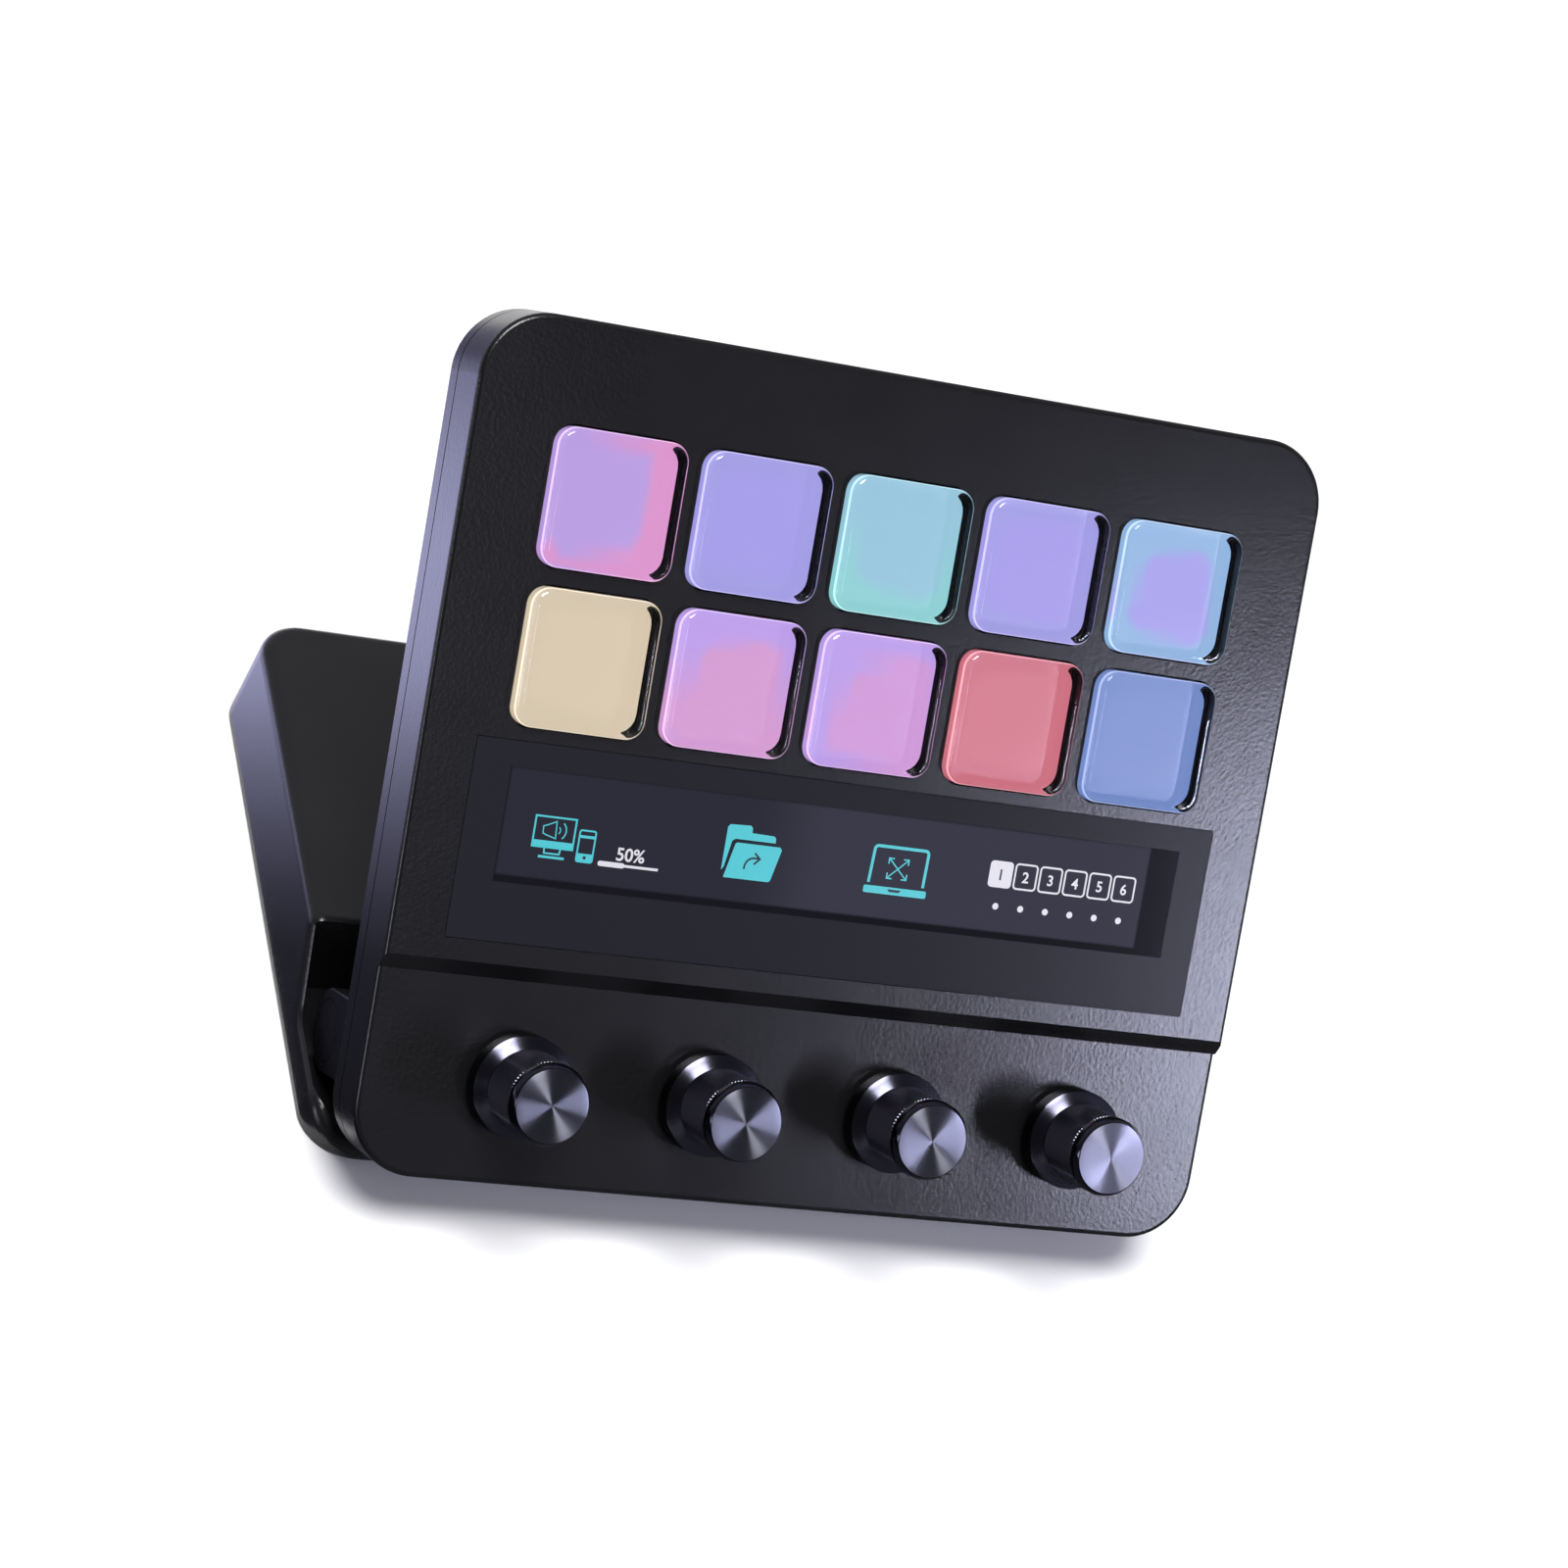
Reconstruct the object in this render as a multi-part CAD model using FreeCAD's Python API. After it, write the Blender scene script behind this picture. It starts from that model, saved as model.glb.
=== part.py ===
import FreeCAD, Part
import math
import os
from FreeCAD import Matrix, Rotation, Vector

# Macro keypad: ten clear push keys over a colour display, a touch strip and four
# push-and-turn knobs, in a slim case that tilts on a low weighted stand.
#
# Millimetres. Row frame: X to the user's right, Y away from the user, Z up. The
# origin is on the desk, at the centre of the rubber pad under the stand.
# Case frame: x to the right from the middle, y up the face from its lower edge,
# z out of the upper face. to_row() leans a piece from the case frame into the row.

# Case
case_width = 136.0
case_height = 123.6
case_corner = 10.0
case_wall = 2.0
face_round = 0.8
back_round = 0.3
seam_depth = 9.0
seam_gap = 0.3
case_depth = 12.5
back_thick = 1.6
lip_gap = 0.1
lip_thick = 1.0
lip_rise = 1.7

# Step across the face, down to the strip that carries the knobs
step_drop = 1.8
step_top_y = 32.0
step_foot_y = 29.7

# Keys
key_columns = 5
key_rows = 2
key_pitch = 22.7
key_top_row_y = 98.7
key_size = 19.9
key_corner = 2.8
key_gap = 0.3
key_rise = 1.8
key_round = 1.0
key_foot = 3.0
flange_size = 21.5
flange_thick = 0.7
picture_window = 20.4

# Sheets and display under the keys, as depths below the upper face. A sheet's margin
# is how much larger it is than the field of keys.
mat_top = 3.85
mat_bottom = 4.1
mat_margin = 2.0
contact_bottom = 4.5
contact_margin = 3.0
sheet_corner = 2.0
key_display_bottom = 6.3
key_display_margin = 1.5
display_corner = 1.0
tray_bottom = 6.9
tray_margin_x = 2.0
tray_margin_y = 3.0
tray_rail = 2.0
tray_rail_inset = 1.0
board_top = 8.4
board_bottom = 9.4
board_inset = 4.2
board_corner = 6.0
board_post_gap = 0.4

# Flat cables from the two displays to the main board
flex_thick = 0.2
flex_bend = 0.8
flex_foot_bend = 0.4
flex_landing = 1.2
key_flex_x = 20.0
key_flex_width = 16.0
key_flex_depth = 5.2
key_flex_reach = 2.4
touch_flex_x = -20.0
touch_flex_width = 12.0
touch_flex_depth = 2.6
touch_flex_reach = 3.0

# Touch strip
glass_width = 119.2
glass_height = 28.7
glass_y = 49.55
glass_thick = 1.1
glass_gap = 0.1
glass_ledge = 1.7
glass_corner = 0.3
ledge_corner = 1.0
strip_width = 112.0
strip_height = 20.0
strip_x = 0.45
strip_y = 52.0
strip_bottom = 3.4
strip_corner = 0.5

# Knobs and their encoders
knob_count = 4
knob_pitch = 29.8
knob_y = 15.0
skirt_radius = 7.6
skirt_bottom = -1.0
skirt_top = 1.5
cone_radius = 5.7
cone_top = 2.4
barrel_radius = 5.95
barrel_bottom = 2.8
barrel_top = 11.2
groove_radius = 5.55
rim_bottom = 11.6
rim_top = 12.6
face_radius = 5.43
knob_top = 13.4
skirt_bore = 6.4
skirt_ceiling = 1.0
insert_radius = 4.4
insert_top = 10.5
shaft_radius = 2.0
shaft_top = 8.5
shaft_foot = -5.8
shaft_clearance = 0.05
collar_radius = 3.2
collar_thick = 0.6
disc_radius = 3.0
disc_thick = 0.6
encoder_width = 11.6
encoder_height = 12.0
encoder_corner = 0.5
encoder_top = 4.0
encoder_floor = 0.7
encoder_roof = 0.6
encoder_room_radius = 3.7
bushing_radius = 3.5
bushing_top = 0.2
bushing_clearance = 0.1
encoder_nut_flats = 10.0
encoder_nut_thick = 1.2

# Hinge: how far the pin's centre is up from the case's lower edge and behind its face
hinge_y = -31.0
hinge_z = 10.6
hinge_up = 15.7
hinge_back = 25.9
case_lean = 52.25
arm_half = 6.2
arm_thick = 7.0
arm_inset = 2.2
arm_edge_round = 0.4
arm_hole_depth = 5.0
pin_radius = 2.5
pin_clearance = 0.05
pin_head_radius = 4.6
pin_head_clearance = 0.1
pin_head_thick = 1.2
washer_radius = 4.8
washer_thick = 0.23
knuckle_gap = 0.6
knuckle_width = 6.5
knuckle_radius = 5.4
hinge_nut_flats = 8.0
hinge_nut_thick = 2.1
hinge_nut_gap = 0.3

# Stand. Its rear wall leans forward by base_lean over the shell's height. Heights are
# above the shell's lower edge, which base_lift holds off the desk.
base_width = 136.4
base_front_y = -46.5
base_rear_y = 49.8
base_lean = 2.1
base_rear_corner = 7.3
base_front_corner = 8.0
base_lift = 0.5
base_height = 17.4
base_wall = 2.0
base_round = 2.2
block_front_y = -15.9
block_top_round = 2.5
rim_wall = 0.8
rim_foot_y = -25.4
rim_foot_round = 4.0
rim_height = 6.0
rim_end_y = -40.0
rim_end_round = 6.0
lip_y = -44.4
lip_round = 2.0
lip_height = 3.2
lip_wall = 2.2
recess_corner = 7.2
recess_floor = 2.4
recess_under = 1.5
pad_width = 125.0
pad_depth = 82.0
pad_corner = 3.0
pad_thick = 0.8
floor_thick = 1.2
floor_gap = 0.2
ballast_width = 100.0
ballast_depth = 50.0
ballast_thick = 8.0
ballast_y = 15.0
ballast_corner = 3.0

# Fasteners
screw_radius = 1.0
screw_head_radius = 1.9
screw_head_thick = 1.1
panel_screw_length = 6.0
arm_screw_length = 6.0
post_radius = 2.4
post_stop = 0.8
post_bond = 0.1
case_posts = ((62.2, 113.0), (62.2, 66.0), (55.5, 6.5))
base_posts = ((56.0, 36.0), (56.0, -8.0))
base_post_radius = 3.0
base_post_bore = 8.0
base_screw_radius = 1.1
base_head_radius = 2.2
base_screw_length = 7.0
arm_screw_offset = 3.6
foot_inner_x = 40.0
foot_half = 7.0
foot_thick = 1.4
foot_screw_x = 44.5
foot_screw_offset = 3.8
foot_screw_head_thick = 0.8

# Socket for the cord, in the case's upper edge
socket_width = 8.94
socket_height = 3.26
socket_length = 7.1
socket_recess = 0.2
socket_wall = 0.3
socket_gap = 0.15
socket_back = 0.8
socket_notch = 1.5
tongue_width = 6.7
tongue_thick = 0.7
tongue_set_back = 0.9

# How far a cut runs past a face, how much an end is short of a full half round, and the
# distance below which two places are the same
beyond = 1.0
short_of_round = 0.05
tiny = 1e-4


# Points and outlines

def xy(z):
    """Plane at height z: the outline's two numbers are x and y."""
    return lambda a, b: Vector(a, b, z)


def yz(x):
    """Plane at x: the outline's two numbers are y and z."""
    return lambda a, b: Vector(x, a, b)


def xz(y):
    """Plane at y: the outline's two numbers are x and z."""
    return lambda a, b: Vector(a, y, b)


def outline(corners, plane):
    """Closed wire through corners (a, b, radius), each rounded by a tangent arc."""
    count = len(corners)
    ends = []
    for i in range(count):
        a, b, radius = corners[i]
        before = corners[i - 1]
        after = corners[(i + 1) % count]
        corner = Vector(a, b, 0)
        back = (Vector(before[0], before[1], 0) - corner).normalize()
        ahead = (Vector(after[0], after[1], 0) - corner).normalize()
        half = back.getAngle(ahead) / 2
        if radius > 0:
            reach = radius / math.tan(half)
            middle = (back + ahead).normalize() * (radius / math.sin(half) - radius)
            ends.append((corner + back * reach, corner + middle, corner + ahead * reach))
        else:
            ends.append((corner, None, corner))
    edges = []
    for i in range(count):
        start, middle, stop = ends[i]
        if middle is not None:
            arc = Part.Arc(plane(start.x, start.y), plane(middle.x, middle.y), plane(stop.x, stop.y))
            edges.append(arc.toShape())
        following = ends[(i + 1) % count][0]
        if stop.distanceToPoint(following) > tiny:
            edges.append(Part.LineSegment(plane(stop.x, stop.y), plane(following.x, following.y)).toShape())
    return Part.Wire(edges)


def prism(corners, plane, along):
    """Solid swept from an outline along a vector."""
    return Part.Face(outline(corners, plane)).extrude(along)


def plate(x, y, width, height, corner, z_low, z_high):
    """Flat plate with rounded corners, centred on x and y."""
    left = x - width / 2
    right = x + width / 2
    low = y - height / 2
    high = y + height / 2
    corners = [(left, low, corner), (right, low, corner), (right, high, corner), (left, high, corner)]
    return prism(corners, xy(z_low), Vector(0, 0, z_high - z_low))


def block(x_low, x_high, y_low, y_high, z_low, z_high):
    """Plain rectangular solid between two corners."""
    return Part.makeBox(x_high - x_low, y_high - y_low, z_high - z_low, Vector(x_low, y_low, z_low))


def post(x, y, radius, z_low, z_high):
    """Upright round solid."""
    return Part.makeCylinder(radius, z_high - z_low, Vector(x, y, z_low))


def bar(x_low, x_high, y, z, radius):
    """Round solid along X."""
    return Part.makeCylinder(radius, x_high - x_low, Vector(x_low, y, z), Vector(1, 0, 0))


def turned(profile, x, y):
    """Solid turned about the upright line at x and y, from (radius, height) points."""
    points = [Vector(x + radius, y, z) for radius, z in profile]
    wire = Part.makePolygon(points + [points[0]])
    return Part.Face(wire).revolve(Vector(x, y, 0), Vector(0, 0, 1), 360)


def hexagon(flats, plane, a, b):
    """Six corners of a nut, centred on a and b."""
    reach = flats / math.sqrt(3)
    points = []
    for i in range(6):
        angle = math.radians(60 * i)
        points.append((a + reach * math.cos(angle), b + reach * math.sin(angle), 0))
    return outline(points, plane)


def round_level(shape, z, radius):
    """Round the edges that lie at height z."""
    edges = []
    for edge in shape.Edges:
        box = edge.BoundBox
        if abs(box.ZMin - z) < tiny and abs(box.ZMax - z) < tiny:
            edges.append(edge)
    return shape.makeFillet(radius, edges)


def fuse(first, others):
    """One solid from pieces that meet."""
    return first.multiFuse(others).removeSplitter()


def mirrored(shape):
    """The same piece on the other side of the middle."""
    return shape.mirror(Vector(0, 0, 0), Vector(1, 0, 0))


def to_row(shape):
    """Lean a piece from the case frame back about the hinge, into the row frame."""
    move = Matrix()
    move.move(Vector(0, -hinge_up, hinge_back))
    turn = Rotation(Vector(1, 0, 0), case_lean).toMatrix()
    lift = Matrix()
    lift.move(Vector(0, hinge_y, hinge_z))
    placed = shape.copy()
    placed.transformShape(lift.multiply(turn).multiply(move), True)
    return placed


# Places that repeat

def key_places():
    """Centres of the keys, left to right, upper row first."""
    places = []
    for row in range(key_rows):
        for column in range(key_columns):
            x = (column - (key_columns - 1) / 2) * key_pitch
            places.append((x, key_top_row_y - row * key_pitch))
    return places


def knob_places():
    """Centres of the knobs, left to right."""
    return [((i - (knob_count - 1) / 2) * knob_pitch, knob_y) for i in range(knob_count)]


def both_sides(places):
    """The listed places, and the same ones mirrored to the left."""
    return [(side * x, y) for side in (1, -1) for x, y in places]


key_field_y = key_top_row_y - key_pitch * (key_rows - 1) / 2
key_display_height = key_pitch * key_rows + key_display_margin
case_mid_y = case_height / 2
arm_outer_x = case_width / 2 - arm_inset
arm_inner_x = arm_outer_x - arm_thick
knuckle_outer_x = arm_inner_x - knuckle_gap
knuckle_inner_x = knuckle_outer_x - knuckle_width
nut_outer_x = knuckle_inner_x - hinge_nut_gap
nut_inner_x = nut_outer_x - hinge_nut_thick
base_top_z = base_lift + base_height
deck_z = base_lift + recess_floor
floor_z = pad_thick + floor_thick
socket_z = -board_top + socket_height / 2


# Case

def case_plate(inset, z_low, z_high):
    """Plate with the case's outline, drawn in by an inset."""
    width = case_width - 2 * inset
    height = case_height - 2 * inset
    return plate(0, case_mid_y, width, height, case_corner - inset, z_low, z_high)


def front_cover():
    """Front shell: face with its step, side walls, key holes, glass pocket and posts."""
    low = round_level(case_plate(0, -seam_depth, -step_drop), -step_drop, face_round)
    high = round_level(case_plate(0, -seam_depth, 0), 0, face_round)
    slope = (step_top_y - step_foot_y) / step_drop
    above_step = [
        (step_top_y + slope * beyond, beyond, 0),
        (case_height + beyond, beyond, 0),
        (case_height + beyond, -seam_depth, 0),
        (step_foot_y, -seam_depth, 0),
        (step_foot_y, -step_drop, 0),
    ]
    half = case_width / 2
    high = high.common(prism(above_step, yz(-half), Vector(case_width, 0, 0)))
    cover = fuse(low, [high])

    cover = cover.cut(case_plate(case_wall, -seam_depth, -step_drop - case_wall))
    upper_room = case_plate(case_wall, -step_drop - case_wall, -case_wall)
    shelf_y = step_top_y + case_wall / 2
    cover = cover.cut(upper_room.common(block(-half, half, shelf_y, case_height, -seam_depth, 0)))

    post_foot = case_depth - back_thick
    posts = []
    holes = []
    for x, y in both_sides(case_posts):
        face = step_drop + case_wall if y < step_foot_y else case_wall
        posts.append(post(x, y, post_radius, -post_foot, -face + post_bond))
        holes.append(post(x, y, screw_radius, -post_foot, -face - post_stop))
    cover = fuse(cover, posts)

    hole_size = key_size + 2 * key_gap
    for x, y in key_places():
        holes.append(plate(x, y, hole_size, hole_size, key_corner + key_gap, -case_wall - beyond, beyond))
    pocket_width = glass_width + 2 * glass_gap
    pocket_height = glass_height + 2 * glass_gap
    pocket_corner = glass_corner + glass_gap
    holes.append(plate(0, glass_y, pocket_width, pocket_height, pocket_corner, -glass_thick, beyond))
    through_width = glass_width - 2 * glass_ledge
    through_height = glass_height - 2 * glass_ledge
    holes.append(plate(0, glass_y, through_width, through_height, ledge_corner, -case_wall - beyond, beyond))
    for x, y in knob_places():
        holes.append(post(x, y, bushing_radius + bushing_clearance, -step_drop - case_wall - beyond, 0))
    holes.append(socket_prism(socket_gap, case_height - case_wall - beyond, case_height + beyond))
    return cover.cut(Part.makeCompound(holes))


def rear_cover():
    """Rear shell: back plate, rim, inner lip, screw holes."""
    shell = round_level(case_plate(0, -case_depth, -seam_depth - seam_gap), -case_depth, back_round)
    lip_outer = case_wall + lip_gap
    lip_inner = lip_outer + lip_thick
    seam = seam_depth + seam_gap
    lip = case_plate(lip_outer, -seam, -seam + lip_rise)
    cover = fuse(shell, [lip])
    cover = cover.cut(case_plate(lip_inner, -case_depth + back_thick, 0))
    notch = socket_width / 2 + socket_notch
    cuts = [block(-notch, notch, case_height - lip_inner - beyond, case_height - lip_outer, -seam, 0)]
    for x, y in both_sides(case_posts):
        cuts.append(countersunk(x, y, -case_depth, screw_radius, screw_head_radius, back_thick))
    for x, y in arm_screw_places():
        cuts.append(post(x, y, screw_radius, -case_depth, -case_depth + back_thick))
    return cover.cut(Part.makeCompound(cuts))


def countersunk(x, y, z, radius, head_radius, length):
    """Flat-headed screw that points up from its head at height z."""
    cone = head_radius - radius
    profile = [(0, z), (head_radius, z), (radius, z + cone), (radius, z + length), (0, z + length)]
    return turned(profile, x, y)


def panel_screws():
    """Six screws through the rear cover into the front cover's posts."""
    screws = []
    for x, y in both_sides(case_posts):
        screws.append(countersunk(x, y, -case_depth, screw_radius, screw_head_radius, panel_screw_length))
    return Part.makeCompound(screws)


# Key display and touch strip

def key_cap(x, y):
    """Clear push key: rounded block with a flange that keeps it under the face."""
    cap = plate(x, y, key_size, key_size, key_corner, -key_foot, key_rise)
    cap = round_level(cap, key_rise, key_round)
    flange_corner = key_corner + (flange_size - key_size) / 2
    flange = plate(x, y, flange_size, flange_size, flange_corner, -key_foot, -key_foot + flange_thick)
    return fuse(cap, [flange])


def key_grid(margin, window, z_low, z_high):
    """Sheet over the whole key field, with a window under each key."""
    width = key_pitch * key_columns + margin
    height = key_pitch * key_rows + margin
    sheet = plate(0, key_field_y, width, height, sheet_corner, z_low, z_high)
    windows = [plate(x, y, window, window, key_corner, z_low, z_high) for x, y in key_places()]
    return sheet.cut(Part.makeCompound(windows))


def dome_mat():
    """Silicone mat that the key flanges press."""
    return key_grid(mat_margin, picture_window, -mat_bottom, -mat_top)


def key_contact_frame():
    """Thin circuit grid with the key contacts, around the picture windows."""
    return key_grid(contact_margin, picture_window, -contact_bottom, -mat_bottom)


def key_display():
    """One colour display under all ten keys."""
    width = key_pitch * key_columns + key_display_margin
    height = key_display_height
    return plate(0, key_field_y, width, height, display_corner, -key_display_bottom, -contact_bottom)


def display_tray():
    """Sheet tray that holds the key display off the main board."""
    width = key_pitch * key_columns + tray_margin_x
    height = key_pitch * key_rows + tray_margin_y
    low = key_field_y - height / 2
    high = key_field_y + height / 2
    half = width / 2 - tray_rail_inset
    tray = plate(0, key_field_y, width, height, display_corner, -tray_bottom, -key_display_bottom)
    rails = [
        block(-half, half, low, low + tray_rail, -board_top, -tray_bottom),
        block(-half, half, high - tray_rail, high, -board_top, -tray_bottom),
    ]
    return fuse(tray, rails)


def cover_glass():
    """Black glass of the touch strip, flush with the face."""
    return plate(0, glass_y, glass_width, glass_height, glass_corner, -glass_thick, 0)


def touch_display():
    """Long display bonded under the glass."""
    return plate(strip_x, strip_y, strip_width, strip_height, strip_corner, -strip_bottom, -glass_thick)


def flex(x, width, y_start, z_start, reach):
    """Flat cable out of a display's edge by a reach, then down and back onto the main board."""
    y_bend = y_start - reach
    y_stop = y_start - flex_landing
    foot_z = -board_top + flex_thick
    corners = [
        (y_start, z_start, 0),
        (y_bend, z_start, flex_bend),
        (y_bend, -board_top, flex_foot_bend),
        (y_stop, -board_top, 0),
        (y_stop, foot_z, 0),
        (y_bend + flex_thick, foot_z, flex_foot_bend - flex_thick),
        (y_bend + flex_thick, z_start - flex_thick, flex_bend - flex_thick),
        (y_start, z_start - flex_thick, 0),
    ]
    return prism(corners, yz(x - width / 2), Vector(width, 0, 0))


def key_display_flex():
    """Flat cable of the key display, out at its lower edge."""
    edge = key_field_y - key_display_height / 2
    return flex(key_flex_x, key_flex_width, edge, -key_flex_depth, key_flex_reach)


def touch_display_flex():
    """Flat cable of the touch strip's display, out at its lower edge."""
    edge = strip_y - strip_height / 2
    return flex(touch_flex_x, touch_flex_width, edge, -touch_flex_depth, touch_flex_reach)


def main_board():
    """Circuit board over the whole case, cut away round the posts."""
    width = case_width - 2 * board_inset
    height = case_height - 2 * board_inset
    board = plate(0, case_mid_y, width, height, board_corner, -board_bottom, -board_top)
    hole = post_radius + board_post_gap
    cuts = [post(x, y, hole, -board_bottom, -board_top) for x, y in both_sides(case_posts)]
    return board.cut(Part.makeCompound(cuts))


def socket_prism(gap, y_low, y_high):
    """Rounded bar along y with the socket's outline, grown by a gap."""
    half = socket_width / 2 + gap
    rise = socket_height / 2 + gap
    corner = rise - short_of_round
    corners = [
        (-half, socket_z - rise, corner),
        (half, socket_z - rise, corner),
        (half, socket_z + rise, corner),
        (-half, socket_z + rise, corner),
    ]
    return prism(corners, xz(y_low), Vector(0, y_high - y_low, 0))


def usb_socket():
    """Cord socket: drawn steel shell with its contact tongue, open at the upper edge."""
    mouth = case_height - socket_recess
    rear = mouth - socket_length
    shell = socket_prism(0, rear, mouth)
    shell = shell.cut(socket_prism(-socket_wall, rear + socket_back, mouth))
    half = tongue_width / 2
    rise = tongue_thick / 2
    tongue = block(-half, half, rear, mouth - tongue_set_back, socket_z - rise, socket_z + rise)
    return fuse(shell, [tongue])


# Knobs and encoders

def encoder_body(x, y):
    """Rotary encoder: square body on the board, threaded bushing through the face."""
    body = plate(x, y, encoder_width, encoder_height, encoder_corner, -board_top, -encoder_top)
    bushing = post(x, y, bushing_radius, -encoder_top, bushing_top)
    body = fuse(body, [bushing])
    bore = post(x, y, shaft_radius + shaft_clearance, -encoder_top - encoder_roof, bushing_top)
    room = post(x, y, encoder_room_radius, -board_top + encoder_floor, -encoder_top - encoder_roof)
    return body.cut(Part.makeCompound([bore, room]))


def encoder_nuts():
    """Four nuts that clamp the bushings to the face."""
    nuts = []
    for x, y in knob_places():
        face = Part.Face(hexagon(encoder_nut_flats, xy(-step_drop), x, y))
        nut = face.extrude(Vector(0, 0, encoder_nut_thick))
        nuts.append(nut.cut(post(x, y, bushing_radius, -step_drop, 0)))
    return Part.makeCompound(nuts)


def push_disc(x, y):
    """Small disc under the shaft that carries the push to the switch."""
    top = shaft_foot - shaft_clearance
    return post(x, y, disc_radius, top - disc_thick, top)


def knob_shaft(x, y):
    """Steel shaft with the collar that keeps it in the encoder."""
    profile = [
        (0, shaft_foot),
        (collar_radius, shaft_foot),
        (collar_radius, shaft_foot + collar_thick),
        (shaft_radius, shaft_foot + collar_thick),
        (shaft_radius, shaft_top),
        (0, shaft_top),
    ]
    return turned(profile, x, y)


def knob_insert(x, y):
    """Plastic bush that grips the shaft inside the knob."""
    profile = [
        (shaft_radius, skirt_ceiling),
        (insert_radius, skirt_ceiling),
        (insert_radius, insert_top),
        (0, insert_top),
        (0, shaft_top),
        (shaft_radius, shaft_top),
    ]
    return turned(profile, x, y)


def knob_shell(x, y):
    """Turned metal knob: skirt with its cone, gripping barrel, rim and flat face."""
    profile = [
        (skirt_bore, skirt_bottom),
        (skirt_radius, skirt_bottom),
        (skirt_radius, skirt_top),
        (cone_radius, cone_top),
        (groove_radius, cone_top),
        (groove_radius, barrel_bottom),
        (barrel_radius, barrel_bottom),
        (barrel_radius, barrel_top),
        (groove_radius, barrel_top),
        (groove_radius, rim_bottom),
        (barrel_radius, rim_bottom),
        (barrel_radius, rim_top),
        (face_radius, knob_top),
        (0, knob_top),
        (0, insert_top),
        (insert_radius, insert_top),
        (insert_radius, skirt_ceiling),
        (skirt_bore, skirt_ceiling),
    ]
    return turned(profile, x, y)


# Hinge

def arm_screw_places():
    """Two screws in each hinge arm, in the case frame."""
    x = (arm_outer_x + arm_inner_x) / 2
    return both_sides([(x, hinge_up - arm_screw_offset), (x, hinge_up + arm_screw_offset)])


def hinge_arm():
    """Right arm: stands out from the rear cover and ends round about the pin."""
    low = hinge_up - arm_half
    high = hinge_up + arm_half
    tip = -hinge_back - arm_half
    end_round = arm_half - short_of_round
    corners = [(low, -case_depth, 0), (high, -case_depth, 0), (high, tip, end_round), (low, tip, end_round)]
    arm = prism(corners, yz(arm_inner_x), Vector(arm_thick, 0, 0))
    sides = []
    for edge in arm.Edges:
        box = edge.BoundBox
        if box.XLength < tiny and box.ZMin < -case_depth - tiny:
            sides.append(edge)
    arm = arm.makeFillet(arm_edge_round, sides)
    head_seat = pin_head_radius + pin_head_clearance
    cuts = [
        bar(arm_inner_x, arm_outer_x, hinge_up, -hinge_back, pin_radius),
        bar(arm_outer_x - pin_head_thick, arm_outer_x, hinge_up, -hinge_back, head_seat),
    ]
    for x, y in arm_screw_places():
        cuts.append(post(x, y, screw_radius, -case_depth - arm_hole_depth, -case_depth))
    return arm.cut(Part.makeCompound(cuts))


def arm_screws():
    """Four screws from inside the rear cover into the arms."""
    screws = []
    seat = -case_depth + back_thick
    tip = seat - arm_screw_length
    for x, y in arm_screw_places():
        profile = [
            (0, tip),
            (screw_radius, tip),
            (screw_radius, seat),
            (screw_head_radius, seat),
            (screw_head_radius, seat + screw_head_thick),
            (0, seat + screw_head_thick),
        ]
        screws.append(turned(profile, x, y))
    return Part.makeCompound(screws)


def hinge_pin():
    """Right pin: flush head in the arm, shank through the knuckle to its nut."""
    head = bar(arm_outer_x - pin_head_thick, arm_outer_x, hinge_up, -hinge_back, pin_head_radius)
    shank = bar(nut_inner_x, arm_outer_x - pin_head_thick, hinge_up, -hinge_back, pin_radius)
    return fuse(head, [shank])


def hinge_washers():
    """Pairs of spring washers between arms and knuckles, which give the friction."""
    washers = []
    gap = (knuckle_gap - 2 * washer_thick) / 2
    for i in range(2):
        x = knuckle_outer_x + gap + i * washer_thick
        disc = bar(x, x + washer_thick, hinge_up, -hinge_back, washer_radius)
        disc = disc.cut(bar(x, x + washer_thick, hinge_up, -hinge_back, pin_radius))
        washers.append(disc)
        washers.append(mirrored(disc))
    return Part.makeCompound(washers)


def hinge_nuts():
    """Lock nuts on the inner ends of the pins."""
    face = Part.Face(hexagon(hinge_nut_flats, yz(nut_inner_x), hinge_up, -hinge_back))
    nut = face.extrude(Vector(hinge_nut_thick, 0, 0))
    nut = nut.cut(bar(nut_inner_x, nut_outer_x, hinge_up, -hinge_back, pin_radius))
    return Part.makeCompound([nut, mirrored(nut)])


def hinge_bracket():
    """Right bracket on the stand's deck: screwed foot and the knuckle for the pin."""
    front = hinge_y - foot_half
    rear = hinge_y + foot_half
    foot = block(foot_inner_x, knuckle_outer_x, front, rear, deck_z, deck_z + foot_thick)
    front = hinge_y - knuckle_radius
    rear = hinge_y + knuckle_radius
    web = block(knuckle_inner_x, knuckle_outer_x, front, rear, deck_z, hinge_z)
    knuckle = bar(knuckle_inner_x, knuckle_outer_x, hinge_y, hinge_z, knuckle_radius)
    bracket = fuse(foot, [web, knuckle])
    cuts = [bar(knuckle_inner_x, knuckle_outer_x, hinge_y, hinge_z, pin_radius + pin_clearance)]
    for side in (1, -1):
        y = hinge_y + side * foot_screw_offset
        cuts.append(post(foot_screw_x, y, base_screw_radius, deck_z, deck_z + foot_thick))
    return bracket.cut(Part.makeCompound(cuts))


def foot_screw_places():
    """Two screws in each bracket's foot, in the row frame."""
    front = hinge_y - foot_screw_offset
    rear = hinge_y + foot_screw_offset
    return both_sides([(foot_screw_x, front), (foot_screw_x, rear)])


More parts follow.
